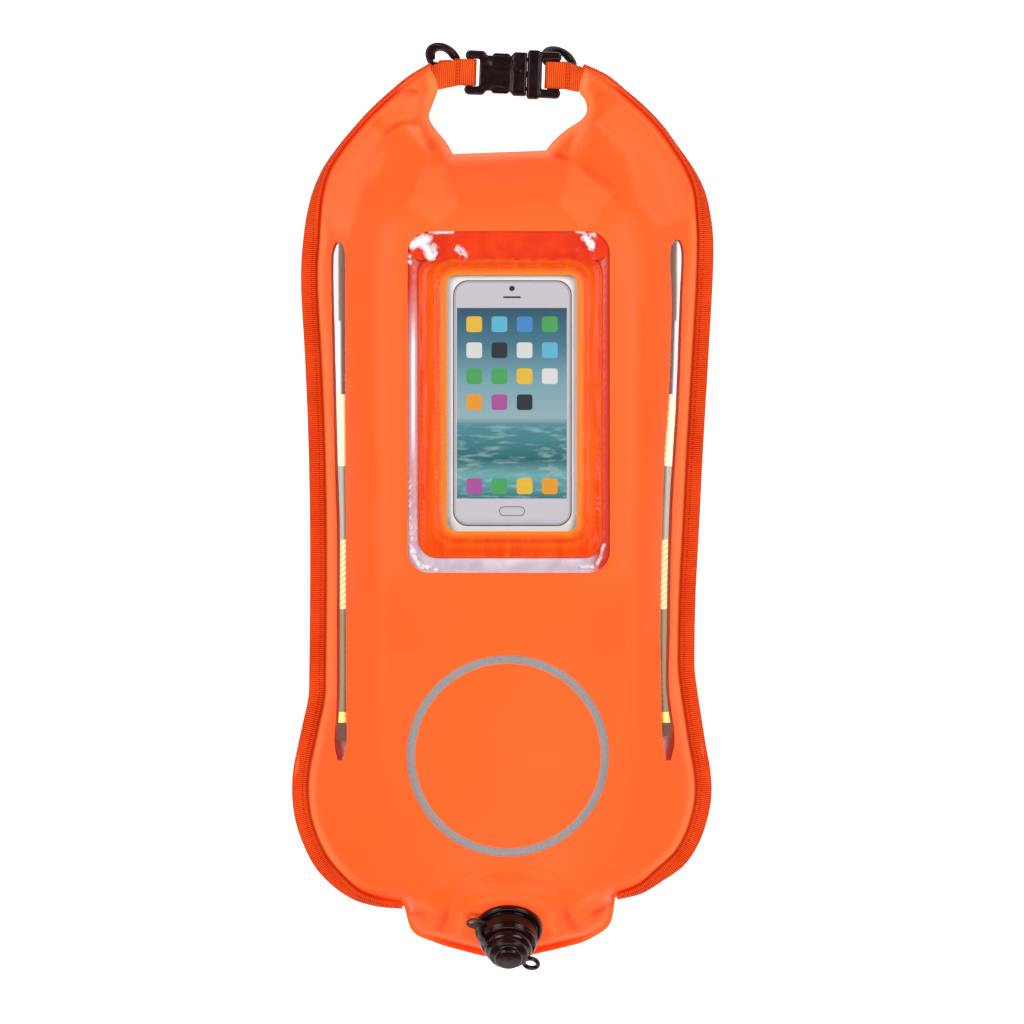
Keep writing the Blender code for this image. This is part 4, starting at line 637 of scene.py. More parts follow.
# Fine plain weave under a coating: threads both ways, and where the coating fills between them
cloth_grain, given, result = effect("cloth_grain", (("Position", "Vector", None), ("Thread pitch", "Float", 0.0006)),
                                    ("Height", "Shade"))
turns = calc(cloth_grain, "DIVIDE", 2 * math.pi, given["Thread pitch"])
parts = split(cloth_grain, given["Position"])
waves = [calc(cloth_grain, "SINE", product(cloth_grain, parts[axis], turns)) for axis in (0, 1)]
woven = spread(cloth_grain, product(cloth_grain, *waves), -1, 1)
slubs = noise(cloth_grain, given["Position"], 0.003, 3)
cloth_grain.links.new(calc(cloth_grain, "ADD", product(cloth_grain, woven, 0.35), slubs), result["Height"])
cloth_grain.links.new(product(cloth_grain, woven, slubs), result["Shade"])

# Handling marks: soft smudges
handling, given, result = effect("handling_marks", (("Position", "Vector", None), ("Size", "Float", 0.04)),
                                 ("Smudges",))
scale = calc(handling, "DIVIDE", 1.0, given["Size"])
smudges = node(handling, "ShaderNodeTexNoise", {"Vector": given["Position"], "Scale": scale, "Detail": 4.0,
                                                "Distortion": 0.6}).outputs[0]
handling.links.new(spread(handling, smudges, 0.42, 0.68), result["Smudges"])

BAG_ORANGE = (0.86, 0.120, 0.020)
BAG_PALE = (0.90, 0.165, 0.042)
# Painted glow: the cloth, its webbing and its thread emit this red light of their own, standing in for the dye's
# fluorescence and keeping them red-orange where they lie in shade
PAINTED_FLUORESCENT_GLOW = (1.0, 0.032, 0.0015, 1.0)
bag_cloth, tree, shader = finish("bag_cloth", BAG_ORANGE, 0.42, Specular_IOR_Level=0.10,
                                 Emission_Color=PAINTED_FLUORESCENT_GLOW, Emission_Strength=0.38)
position = position_of(tree)
grain = node(tree, "ShaderNodeGroup", {"Position": position}, node_tree=cloth_grain)
marks = node(tree, "ShaderNodeGroup", {"Position": position, "Size": 0.07}, node_tree=handling)
fading = spread(tree, noise(tree, position, 0.16, 2), 0.35, 0.7, 0.0, 0.35)
toned = blended(tree, fading, BAG_ORANGE, BAG_PALE)
toned = blended(tree, product(tree, grain.outputs["Shade"], 0.05), toned, (0.74, 0.08, 0.014))
# Painted light and shade: the folds are painted redder in their depth, and paler along their crest and on the facets
# that face the light; the steep cloth near the seams is painted paler, with a paler glow; and the cloth is painted
# darkest, with its glow dimmed, where it enters a seam
valley, painted_crest_light, seam, rim = (painted_value(tree, name) for name in ("valley", "painted_crest_light", "seam", "rim"))
toned = blended(tree, valley, toned, (0.88, 0.045, 0.012))
toned = blended(tree, painted_crest_light, toned, (0.95, 0.24, 0.085))
toned = blended(tree, rim, toned, (0.92, 0.21, 0.060))
toned = blended(tree, seam, toned, (0.42, 0.025, 0.006))
tree.links.new(toned, shader.inputs["Base Color"])
painted_glow = blended(tree, rim, PAINTED_FLUORESCENT_GLOW, (0.95, 0.120, 0.026))
tree.links.new(blended(tree, seam, painted_glow, (0.35, 0.022, 0.004)), shader.inputs["Emission Color"])
tree.links.new(spread(tree, marks.outputs["Smudges"], 0, 1, 0.39, 0.47), shader.inputs["Roughness"])
pebbles = calc(tree, "ADD", product(tree, grain.outputs["Height"], 0.25), noise(tree, position, 0.018, 3))
bumped(tree, shader, pebbles, 0.0005, 0.35)

SHEET_STEP = 0.0027
RIM_ROWS = (0.0003, 0.0009, 0.0018, 0.0030, 0.0046, 0.0066)
LEFT_WINDOW = (
    (-0.800, 0.799, 0.013), (-0.801, 0.791, 0.028), (-0.802, 0.771, 0.035), (-0.797, 0.646, 0.031),
    (-0.792, 0.552, 0.027), (-0.786, 0.480, 0.023), (-0.786, 0.400, 0.023), (-0.786, 0.288, 0.024),
    (-0.790, 0.244, 0.030), (-0.792, 0.222, 0.012),
)
RIGHT_WINDOW = (
    (0.800, 0.801, 0.013), (0.799, 0.794, 0.028), (0.798, 0.777, 0.034), (0.797, 0.724, 0.026), (0.783, 0.623, 0.026),
    (0.766, 0.566, 0.028), (0.754, 0.510, 0.025), (0.746, 0.438, 0.024), (0.742, 0.365, 0.024),
    (0.742, 0.302, 0.020), (0.758, 0.249, 0.030), (0.758, 0.222, 0.012),
)


def side_window(shares, widen, step):
    """A counter-clockwise loop round a side window, with rounded ends."""
    rows = flowing([(*place(x, y), half * BAG_WIDTH / 2) for x, y, half in shares], step)
    run = unit(np.gradient(rows[:, :2], axis=0))
    side = np.stack([-run[:, 1], run[:, 0]], axis=1) * (rows[:, 2:3] + widen)
    middle = rows[:, :2].copy()
    middle[0] -= run[0] * widen
    middle[-1] += run[-1] * widen
    return np.vstack([middle - side, (middle + side)[::-1]])[::-1]


window_loop = rounded_rectangle(WINDOW_CENTRE, WINDOW_SIZE, WINDOW_CORNER, 0.003)
side_loops = [side_window(shares, 0, 0.003) for shares in (LEFT_WINDOW, RIGHT_WINDOW)]
valve_loop = circle(VALVE_CENTRE, NECK_HOLE, 48, math.cos(VALVE_TILT))
holes = [window_loop, *side_loops, valve_loop]
near_folds = [np.array(line) / 1000 for line, breadth, _, _ in FOLDS if breadth < SOFT_FOLD]


DENSE_REACH = 0.0055       # from a sharp fold, within which the sheet's points lie denser
RIM_MARGIN = RIM_ROWS[-1] + 0.0012
HOLE_MARGIN = 0.0028
CUT_DROP = 0.0009          # of the cut edges round the windows


def creased(points):
    return np.min([edge_distance(line, points, closed=False) for line in near_folds], axis=0) < DENSE_REACH


plain_places = lattice(seam_loop, SHEET_STEP, RIM_MARGIN)
dense_places = lattice(seam_loop, SHEET_STEP / 2, RIM_MARGIN)
front_extra = np.vstack([plain_places[~creased(plain_places)], dense_places[creased(dense_places)],
                         beside(seam_loop, RIM_ROWS)])
for hole in holes:
    front_extra = front_extra[~contains(hole, front_extra)]
    front_extra = front_extra[edge_distance(hole, front_extra) > HOLE_MARGIN]
for hole in holes[:3]:
    for distance in (-0.0008, -0.0018):
        front_extra = np.vstack([front_extra, inset(hole, distance)])
flat_points, front_faces = triangulated([cloth_loop, seam_loop], front_extra, holes)
heights = front_height(flat_points)
# The cut edges round the windows turn down to the film that they are welded to
for hole in holes[:3]:
    heights -= CUT_DROP * close_to(hole, flat_points, 0, 0.0030)
bag_front = skin("bag_front", np.column_stack([flat_points, SEAM_HEIGHT + heights]), front_faces,
                 CLOTH_THICKNESS, bag_cloth)
fitted(bag_front, ["front_panel"], "bag")


def painted(piece, name, value):
    """Keeps a function of x and y on a piece, as an attribute that its finish reads."""
    points = np.array([v.co[:2] for v in piece.data.vertices])
    layer = piece.data.attributes.new(name, "FLOAT", "POINT")
    layer.data.foreach_set("value", np.clip(value(points), 0, 1).astype(np.float32))
    return piece


# Painted shade in the folds' depths, painted light along their crests and on the lit facets, a painted pale band on the
# steep cloth by the seams that fades towards the foot, and painted shade where the cloth enters a seam
painted(bag_front, "valley", lambda points: -folded(points) / 0.0024 - 0.10)
painted(bag_front, "painted_crest_light", lambda points: np.maximum(folded(points) / 0.0040 - 0.12, facet_light(points)))
painted(bag_front, "rim", lambda points: close_to(seam_loop, points, 0.0015, 0.0065)
        * (0.3 + 0.7 * ease((points[:, 1] + 0.290) / 0.020)))
painted(bag_front, "seam", lambda points: close_to(seam_loop, points, 0.0003, 0.0016)
        * ease((np.abs(points[:, 0]) - 0.075) / 0.010) * ease((points[:, 1] + 0.300) / 0.010) * 0.75)


# Back of the bag
# The other welded sheet, in the same cloth. It ends at the rolled mouth, bulges less than the front, and lies flat
# where it rests on the ground.

BACK_DROP = 0.072
FLAT_START = 0.86
ROLL_EDGE = ((-0.66, 0.850), (-0.42, 0.833), (0.0, 0.832), (0.30, 0.834), (0.58, 0.850))
ROLL_CROWN = 0.0065
roll_edge = flowing([place(x, y) for x, y in ROLL_EDGE], OUTLINE_STEP)
body_side = (np.arange(len(outline)) < n_sides) & (outline[:, 1] < roll_edge[0][1] + ROLL_CROWN)


def body_loop(loop, edge, step):
    """What of a loop lies below the rolled mouth, fine and closed along the roll's edge."""
    kept = np.flatnonzero(body_side)
    left = loop[kept[0]:n_left]
    right = loop[n_left + n_foot:kept[-1] + 1]
    foot = np.vstack([left[-1:], loop[n_left:n_left + n_foot], right[:1]])
    across = np.vstack([right[-1:], edge[::-1], left[:1]])
    return np.vstack([flowing(run, step)[:-1] for run in (left, foot, right, across)])


back_seam = body_loop(coarse_seam, roll_edge - (0, GAP + 0.0008), EDGE_STEP)
back_cloth = body_loop(inset(outline, cloth_insets), roll_edge - (0, GAP), EDGE_STEP)
back_shape = inflated(back_seam)


def back_height(points):
    """The back's outer face, below the seams."""
    depth = SEAM_HEIGHT - SEAM_STACK
    ratio = BACK_DROP * back_shape(points) / depth
    end = 2 - FLAT_START
    eased = ratio - (ratio - FLAT_START) ** 2 / (2 * (end - FLAT_START))
    level = np.where(ratio < FLAT_START, ratio, np.where(ratio < end, eased, 1.0))
    off_edge = edge_distance(back_seam, points)
    gathers = np.exp(-((off_edge - 0.014) / 0.012) ** 2) * rumpled(points, 8, 0.036, 0.0009)
    free = ease(off_edge / 0.008) * (1 - ease((ratio - 0.8) / 0.4))
    return -SEAM_STACK - depth * level + free * (gathers + rumpled(points, 9, 0.10, 0.0010))


back_extra = np.vstack([lattice(back_seam, 0.0034, RIM_MARGIN), beside(back_seam, RIM_ROWS)])
flat_points, faces = triangulated([back_cloth, back_seam], back_extra)
bag_back = skin("bag_back", np.column_stack([flat_points, SEAM_HEIGHT + back_height(flat_points)]),
                faces[:, ::-1], CLOTH_THICKNESS, bag_cloth)
fitted(bag_back, ["back_panel"], "bag")


# Dry compartment
# Two sheets of thin grey coated cloth inside the bag, welded into the same seams. The air chamber lies round them,
# and the compartment between them opens at the rolled mouth.

WELDED_ORANGE = (0.85, 0.060, 0.010)
liner_cloth, tree, shader = finish("liner_cloth", (0.55, 0.56, 0.58), 0.6)
position = position_of(tree)
grain = node(tree, "ShaderNodeGroup", {"Position": position, "Thread pitch": 0.0009}, node_tree=cloth_grain)
threads = blended(tree, product(tree, grain.outputs["Shade"], 0.3), (0.57, 0.58, 0.60), (0.42, 0.43, 0.46))
# Where the foot is welded, its edge has the bag's own colour
at_foot = spread(tree, split(tree, position)[1], -0.288, -0.298)
tree.links.new(blended(tree, at_foot, threads, WELDED_ORANGE), shader.inputs["Base Color"])
bumped(tree, shader, grain.outputs["Height"], 0.0003, 0.4)
LINER_RISE = 0.038
# Round the sides and the foot they end a little inside the bag's own cut edge
liner_edge = inset(back_cloth, 0.0016 * ease((roll_edge[:, 1].min() - 0.012 - back_cloth[:, 1]) / 0.020))
flat_points, faces = triangulated([liner_edge, back_seam], np.vstack([lattice(back_seam, 0.0055, 0.006),
                                                                      beside(back_seam, RIM_ROWS[2:])]))
for side, word in ((1, "front"), (-1, "back")):
    heights = GAP / 2 + LINER_THICKNESS + LINER_RISE * back_shape(flat_points)
    off_edge = ease(edge_distance(back_seam, flat_points) / 0.012)
    heights += off_edge * rumpled(flat_points, 20 + side, 0.07, 0.0012)
    liner = skin("dry_liner_sheet_" + word, np.column_stack([flat_points, SEAM_HEIGHT + side * heights]),
                 faces if side > 0 else faces[:, ::-1], LINER_THICKNESS, liner_cloth)
    fitted(liner, ["dry_liner_" + word], "bag")


# Rolled mouth
# The open end of the bag, rolled over on itself three times round a stiff strip and bent up at both ends. The layers
# show as steps on the underside, and the cloth creases across where the roll bends.

ROLL_INSET = 0.0035
first_body, last_body = np.flatnonzero(body_side)[[0, -1]]
rolled = inset(outline, np.where(np.arange(len(outline)) < n_sides, seam_insets + ROLL_INSET, ROLL_INSET))
lower = roll_edge + (0, GAP)
mouth_runs = (np.vstack([rolled[:first_body], lower[:1]]), lower,
              np.vstack([lower[-1:], rolled[last_body + 1:n_sides]]), *gap_runs(rolled))
mouth_loop = np.vstack([flowing(run, 0.0022)[:-1] for run in mouth_runs])
hand_line = np.vstack([flowing(run, 0.003) for run in gap_runs(rolled)])
flat_points, faces = triangulated([mouth_loop], np.vstack([
    lattice(mouth_loop, 0.0024, 0.0034), beside(mouth_loop, (0.0004, 0.0011, 0.0022))]))
off_edge = edge_distance(mouth_loop, flat_points)
swell = np.clip(off_edge / 0.008, 0, 1)
fullness = 0.0022 + ROLL_CROWN * np.sqrt(1 - (1 - swell) ** 2)
off_hand = edge_distance(hand_line, flat_points, closed=False)
layers = 0.0011 * ease((off_hand - 0.0105) / 0.0014) + 0.0010 * ease((off_hand - 0.0200) / 0.0014)
turn = np.arctan2(flat_points[:, 1] - 0.262, np.abs(flat_points[:, 0]) - 0.030)
across = 0.0009 * np.sin(turn * 21 + rumpled(flat_points, 31, 0.03, 0.9)) * np.exp(-((np.abs(turn - 0.3)) / 0.75) ** 2)
across += rumpled(flat_points, 32, 0.02, 0.0003)
under_front = front_base(flat_points) - CLOTH_THICKNESS - 0.0014
foot = -(fullness - ease(off_edge / 0.006) * (layers + across + 0.0007))
mouth_sides = (np.column_stack([flat_points, SEAM_HEIGHT + side]) for side in (np.minimum(fullness, under_front), foot))
bag_mouth = closed_sheet("bag_mouth", *mouth_sides, faces, bag_cloth, 60)
fitted(bag_mouth, ["rolled_mouth"], "bag")

stiff_strip, tree, shader = finish("stiff_strip", (0.8, 0.8, 0.78), 0.45)
position = position_of(tree)
bumped(tree, shader, noise(tree, position, 0.002), 0.0002, 0.5)
tree.links.new(blended(tree, noise(tree, position, 0.01), (0.82, 0.82, 0.80), (0.74, 0.74, 0.72)),
               shader.inputs["Base Color"])


def repaint(node_name, material):
    """Gives a CAD solid a finish, and leaves its shape alone."""
    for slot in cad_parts[node_name].material_slots:
        slot.material = material


repaint("mouth_stiffener", stiff_strip)


# Phone pouch
# A pocket of glossy orange vinyl welded behind the window: a padded border round a clear pane, a printed dummy card,
# a deep back for the phone, and a pale lining that shows past the border at the left and the foot.

POUCH_ORANGE = (1.0, 0.100, 0.002)
FRAME_CENTRE = WINDOW_CENTRE + (0.0013, -0.0035)
FRAME_SIZE = np.array((0.138, 0.2234))
PANE_CENTRE = FRAME_CENTRE + (0.0011, 0.0028)
PANE_SIZE = np.array((0.097, 0.1895))
FILM_DEPTH = CLOTH_THICKNESS + 0.0012
FRAME_DEPTH = FILM_DEPTH + 0.0017
PANE_DEPTH = FRAME_DEPTH + 0.0039
CARD_DEPTH = PANE_DEPTH + 0.0011
BACK_DEPTH = CARD_DEPTH + 0.0097


def on_front(points, depth=0.0):
    """Places on the front, or a depth under its face and square to it."""
    probe = 0.002
    right, left, up, down = (front_height(points + shift)
                             for shift in ((probe, 0), (-probe, 0), (0, probe), (0, -probe)))
    facing = unit(np.column_stack([(left - right) / (2 * probe), (down - up) / (2 * probe), np.ones(len(points))]))
    face = np.column_stack([points, SEAM_HEIGHT + (right + left + up + down) / 4])
    return face - facing * np.broadcast_to(depth, len(points))[:, None], facing


def laid(name, loop, hole_loops, depth, thickness, material, step=0.003, rows=()):
    """A sheet that follows the front at a depth, which may change over it."""
    extra = lattice(loop, step, step * 0.6)
    if len(rows):
        extra = np.vstack([extra, *rows])
    for hole in hole_loops:
        extra = extra[~contains(hole, extra)]
        extra = extra[edge_distance(hole, extra) > 0.0005]
    points, faces = triangulated([loop], extra, hole_loops)
    places, _ = on_front(points, depth(points) if callable(depth) else depth)
    return skin(name, places, faces, thickness, material)


frame_loop = rounded_rectangle(FRAME_CENTRE, FRAME_SIZE, 0.014, 0.002)
pane_loop = rounded_rectangle(PANE_CENTRE, PANE_SIZE, 0.007, 0.002)
PANE_WELD = 0.004
BORDER_PAD = 0.0026
# Grooves and a bead along the padded border: how far from the pane's edge or the border's own, half breadth and height
BORDER_LINES = ((True, 0.0062, 0.0011, -0.0009), (False, 0.0036, 0.0010, -0.0007), (True, 0.0018, 0.0012, 0.0005))


def border_rise(points):
    """The padded border's profile: full at its outer edge, with two welded channels beside the pane."""
    outer = edge_distance(frame_loop, points)
    inner = edge_distance(pane_loop, points)
    rise = BORDER_PAD * np.sqrt(np.clip(1 - (1 - np.clip(outer / 0.0055, 0, 1)) ** 2, 0, 1))
    rise -= 0.0016 * (1 - ease((inner - 0.0050) / 0.0055))
    for from_pane, at, breadth, height in BORDER_LINES:
        rise += height * np.exp(-(((inner if from_pane else outer) - at) / breadth) ** 2)
    waves = rumpled(points * (1.0, 0.35), 41, 0.011, 0.00016) + rumpled(points, 42, 0.03, 0.0002)
    return rise + waves * ease(outer / 0.004)


pouch_vinyl, tree, shader = finish("pouch_vinyl", POUCH_ORANGE, 0.3, Specular_IOR_Level=0.10)
position = position_of(tree)
marks = node(tree, "ShaderNodeGroup", {"Position": position, "Size": 0.03}, node_tree=handling)
streaked = noise(tree, stretched(tree, position, (1.0, 0.07, 1.0)), 0.0045, 2)
tone = blended(tree, spread(tree, streaked, 0.35, 0.75), (0.80, 0.050, 0.001), (0.86, 0.092, 0.002))
# Painted highlight: a pale glow along the pane's edge, and a pale line along the padded border
lit = painted_value(tree, "lit")
head = spread(tree, split(tree, position)[1], 0.166, 0.186, 0.0, 0.7)
tone = blended(tree, head, tone, (0.66, 0.030, 0.002))
tone = blended(tree, lit, tone, (1.0, 0.26, 0.022))
tree.links.new(tone, shader.inputs["Base Color"])
tree.links.new(spread(tree, marks.outputs["Smudges"], 0, 1, 0.16, 0.28), shader.inputs["Roughness"])
bumped(tree, shader, streaked, 0.0003, 0.25)

border_rows = [beside(frame_loop, (0.0004, 0.0011, 0.0021, 0.0031, 0.0041))]
border_rows += [inset(pane_loop, -d) for d in (0.0008, 0.0018, 0.0030, 0.0044, 0.0055, 0.0068)]
pouch_border = laid("pouch_border", frame_loop, [pane_loop], lambda points: FRAME_DEPTH + 0.0016 - border_rise(points),
                    0.0008, pouch_vinyl, 0.0022, border_rows)
# Painted highlight along the pane's edge and along the padded border
painted(pouch_border, "lit", lambda points: 0.75 * np.exp(-((edge_distance(pane_loop, points) - 0.001) / 0.0035) ** 2)
        + 0.22 * np.exp(-((edge_distance(pane_loop, points) - 0.010) / 0.0018) ** 2))
fitted(pouch_border, ["pouch_frame"], "bag")


def pouch_depth(points):
    inside = ease((edge_distance(frame_loop, points) - 0.006) / 0.013)
    return PANE_DEPTH + 0.0004 + inside * (BACK_DEPTH - PANE_DEPTH)


pouch_pocket = laid("pouch_pocket", frame_loop, [], pouch_depth, 0.0006, pouch_vinyl, 0.0045)
fitted(pouch_pocket, ["pouch_back"], "bag")

lining_cloth, tree, shader = finish("pouch_lining", (0.62, 0.52, 0.60), 0.35)
position = position_of(tree)
pale = blended(tree, spread(tree, noise(tree, position, 0.012, 3), 0.3, 0.7), (0.72, 0.64, 0.72), (0.56, 0.44, 0.54))
parts = split(tree, position)
head = calc(tree, "MAXIMUM", spread(tree, parts[1], 0.120, 0.165), spread(tree, parts[0], 0.060, 0.068))
rosy = product(tree, spread(tree, parts[1], -0.040, 0.0), 0.85)
pale = blended(tree, rosy, pale, (0.62, 0.27, 0.28))
# A painted glint: a white streak down the left side, where the film over it would catch the light
off_glint_streak = calc(tree, "ABSOLUTE", calc(tree, "ADD", parts[0], 0.0700))
painted_glint_streak = product(tree, spread(tree, off_glint_streak, 0.0016, 0.0007), spread(tree, parts[1], 0.030, 0.060),
                 spread(tree, parts[1], 0.150, 0.120))
pale = blended(tree, painted_glint_streak, pale, (0.98, 0.90, 0.90))
tree.links.new(blended(tree, head, pale, (0.62, 0.035, 0.012)), shader.inputs["Base Color"])
bumped(tree, shader, noise(tree, position, 0.006, 3), 0.0006, 0.5)
film_loop = rounded_rectangle(WINDOW_CENTRE, WINDOW_SIZE + 0.009, WINDOW_CORNER + 0.003, 0.003)
pouch_lining = laid(
    "pouch_lining", film_loop, [rounded_rectangle(PANE_CENTRE, PANE_SIZE + 0.018, 0.01, 0.003)],
    lambda points: FILM_DEPTH + 0.0010 + 0.0030 * ease((edge_distance(film_loop, points) - 0.006) / 0.006),
    0.0004, lining_cloth, 0.004)
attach(pouch_lining, "bag")

# The mouth of the pouch, folded over under the window's head
flap_vinyl, tree, shader = finish("flap_vinyl", (0.78, 0.050, 0.012), 0.22, Specular_IOR_Level=0.15)
position = position_of(tree)
tree.links.new(blended(tree, spread(tree, noise(tree, position, 0.030, 2), 0.35, 0.7), (0.62, 0.018, 0.006),
                       (0.86, 0.050, 0.007)), shader.inputs["Base Color"])
bumped(tree, shader, noise(tree, position, 0.007, 2, 0.5, 0.8), 0.0012, 0.5)
flap_loop = rounded_rectangle(WINDOW_CENTRE + (0, WINDOW_SIZE[1] / 2 - 0.0095), (0.1480, 0.0230), 0.009, 0.002)
pouch_flap = laid("pouch_flap", flap_loop, [], lambda points: FILM_DEPTH + 0.0009 + rumpled(points, 44, 0.016, 0.0003)
                  + 0.0006 * ease((0.1880 - points[:, 1]) / 0.004), 0.0006, flap_vinyl, 0.002)
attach(pouch_flap, "bag")

# Printed dummy card: a plain phone with plain coloured squares, in millimetres from the card's middle
patch, given, result = effect("rounded_patch", (
    ("Place", "Vector", None), ("Across", "Float", 0.0), ("Up", "Float", 0.0), ("Half width", "Float", 1.0),
    ("Half height", "Float", 1.0), ("Corner", "Float", 1.0)), ("Mask",))
parts = split(patch, given["Place"])
reach = []
for axis, middle, half in ((0, "Across", "Half width"), (1, "Up", "Half height")):
    away = calc(patch, "ABSOLUTE", calc(patch, "SUBTRACT", parts[axis], given[middle]))
    past = calc(patch, "SUBTRACT", away, calc(patch, "SUBTRACT", given[half], given["Corner"]))
    reach.append(calc(patch, "POWER", calc(patch, "MAXIMUM", past, 0.0), 2.0))
distance = calc(patch, "SUBTRACT", calc(patch, "SQRT", calc(patch, "ADD", *reach)), given["Corner"])
patch.links.new(spread(patch, distance, 0.12, -0.12), result["Mask"])

card_print, tree, shader = finish("card_print", (0.84, 0.84, 0.85), 0.40, Specular_IOR_Level=0.12)
position = position_of(tree)
centred = node(tree, "ShaderNodeVectorMath", {0: position, 1: (*PANE_CENTRE, 0.0)}, operation="SUBTRACT").outputs[0]
card_place = node(tree, "ShaderNodeVectorMath", {0: centred, "Scale": 1000.0}, operation="SCALE").outputs[0]


def patch_mask(at, across, up, half_width, half_height, corner):
    return node(tree, "ShaderNodeGroup", {"Place": at, "Across": across, "Up": up, "Half width": half_width,
                                          "Half height": half_height, "Corner": corner}, node_tree=patch).outputs[0]


parts = split(tree, card_place)
screen_tones = (
    (0.0, (0.030, 0.16, 0.18)), (0.12, (0.13, 0.34, 0.35)), (0.20, (0.018, 0.11, 0.13)), (0.31, (0.045, 0.19, 0.22)),
    (0.385, (0.07, 0.22, 0.26)), (0.42, (0.26, 0.38, 0.41)), (0.60, (0.17, 0.33, 0.38)), (0.80, (0.055, 0.165, 0.23)),
    (1.0, (0.022, 0.075, 0.12)))
screen = ramped(tree, spread(tree, parts[1], -70.0, 70.0), screen_tones)
ripples = spread(tree, noise(tree, stretched(tree, card_place, (0.05, 0.30, 1.0)), 1.0, 3), 0.5, 0.75)
low_down = spread(tree, parts[1], -14.0, -20.0)
screen = blended(tree, product(tree, ripples, low_down, 0.5), screen, (0.42, 0.58, 0.58))
# Squares in four columns: three whole rows, a shorter one, and the row at the foot of the screen
squares = square_colours = 0.0
CELL_SIZES = (18.6, 19.2)
for foot_up, row_count, column_count in ((10.0, 3, 4), (-9.2, 1, 3), (-71.2, 1, 4)):
    within, in_cell, cells = 1.0, {}, {2: foot_up}
    for axis, foot, count in ((0, -2 * CELL_SIZES[0], column_count), (1, foot_up, row_count)):
        cell = calc(tree, "DIVIDE", calc(tree, "SUBTRACT", parts[axis], foot), CELL_SIZES[axis])
        in_cell[axis] = product(tree, calc(tree, "SUBTRACT", calc(tree, "FRACT", cell), 0.5), CELL_SIZES[axis])
        cells[axis] = calc(tree, "FLOOR", cell)
        within = product(tree, calc(tree, "GREATER_THAN", cell, 0.0), calc(tree, "LESS_THAN", cell, float(count)),
                         within)
    local = node(tree, "ShaderNodeCombineXYZ", in_cell).outputs[0]
    squares = calc(tree, "MAXIMUM", squares, product(tree, within, patch_mask(local, 0.0, 0.0, 5.8, 5.8, 2.2)))
    chance = node(tree, "ShaderNodeTexWhiteNoise", {"Vector": node(tree, "ShaderNodeCombineXYZ", cells).outputs[0]})
    square_colours = calc(tree, "ADD", square_colours, product(tree, within, chance.outputs[0]))
square_tones = ((0.62, 0.62, 0.62), (0.05, 0.22, 0.50), (0.60, 0.62, 0.60), (0.70, 0.28, 0.02), (0.06, 0.32, 0.09),
                (0.52, 0.03, 0.03), (0.02, 0.025, 0.03), (0.10, 0.40, 0.58), (0.36, 0.07, 0.28), (0.70, 0.42, 0.04))
square_stops = [(index / len(square_tones), tone) for index, tone in enumerate(square_tones)]
screen = blended(tree, squares, screen, ramped(tree, square_colours, square_stops, "CONSTANT"))
# Its outline, case, screen, lens, sound slot and button, each over the ones before it
body = (0.84, 0.77, 0.75)
for across, up, half_width, half_height, corner, colour in (
        (0.3, -0.2, 43.8, 90.8, 11.0, (0.06, 0.06, 0.07)), (0.3, -0.2, 43.0, 90.0, 10.6, (0.50, 0.47, 0.50)),
        (0.3, -0.2, 42.4, 89.4, 9.8, (0.26, 0.25, 0.27)), (0.3, -0.2, 42.0, 89.0, 9.6, (0.52, 0.49, 0.53)),
        (-0.1, -0.3, 40.6, 70.4, 0.3, screen),
        (0.0, 84.5, 2.0, 2.0, 2.0, (0.015, 0.015, 0.015)), (0.0, 78.0, 6.6, 0.7, 0.6, (0.03, 0.03, 0.03)),
        (0.0, -80.0, 9.6, 3.6, 3.6, (0.14, 0.14, 0.15)), (0.0, -80.0, 8.9, 2.9, 2.9, (0.50, 0.48, 0.51))):
    body = blended(tree, patch_mask(card_place, across, up, half_width, half_height, corner), body, colour)
tree.links.new(body, shader.inputs["Base Color"])
bumped(tree, shader, noise(tree, position, 0.02, 2), 0.0008, 0.3)
card_loop = rounded_rectangle(PANE_CENTRE, PANE_SIZE + 0.0012, 0.0075, 0.003)
dummy_card = laid("dummy_card", card_loop, [], CARD_DEPTH, 0.0007, card_print, 0.004)
fitted(dummy_card, ["insert_card"], "bag")


# Clear films
# Thin clear vinyl: the pane over the card, the window over the whole pouch, and the covers of the side windows. Each
# is welded round its edge, where it is hazy, and a little creased towards its corners. The window's creases carry
# painted glints, white where they would catch the light.

def clear_vinyl(name, colour, clear, hazy_and_glinting, roughness=0.10):
    """A film's finish. Its haze and its painted glints are painted on the piece, as an attribute, and show white where
    they lie.
    """
    material, tree, shader = finish(name, colour, roughness, Coat_Weight=1.0, Coat_Roughness=0.04)
    haze_and_glint = painted_value(tree, "haze_and_glint")
    position = position_of(tree)
    torn = calc(tree, "SUBTRACT", noise(tree, position, 0.0050, 4, 0.6, 1.2), 0.5)
    # At the foot of the side windows the cover clings to the cloth behind it
    clinging = spread(tree, split(tree, position)[1], -0.186, -0.192)
    tree.links.new(blended(tree, clinging, colour, (1.0, 0.34, 0.25)), shader.inputs["Base Color"])
    # Where haze and painted glints lie, the film turns white in torn patches
    patchy = calc(tree, "ADD", haze_and_glint, product(tree, torn, calc(tree, "MINIMUM", product(tree, haze_and_glint, 6.0), 1.3)))
    tree.links.new(spread(tree, patchy, 0.12, 0.75, clear, hazy_and_glinting), shader.inputs["Alpha"])
    bumped(tree, shader, noise(tree, position, 0.024, 2), 0.0006, 0.3)
    return material


pane_vinyl = clear_vinyl("pane_vinyl", (0.96, 0.90, 0.88), 0.005, 0.55)
pane_edge = rounded_rectangle(PANE_CENTRE, PANE_SIZE + 2 * PANE_WELD, 0.009, 0.003)
clear_pane = laid("clear_pane", pane_edge, [], lambda points: PANE_DEPTH - 0.0006 + rumpled(points, 45, 0.05, 0.0002),
                  0.0004, pane_vinyl, 0.004)
fitted(clear_pane, ["pouch_front_film"], "bag")

window_vinyl = clear_vinyl("window_vinyl", (0.98, 0.94, 0.95), 0.003, 0.95)
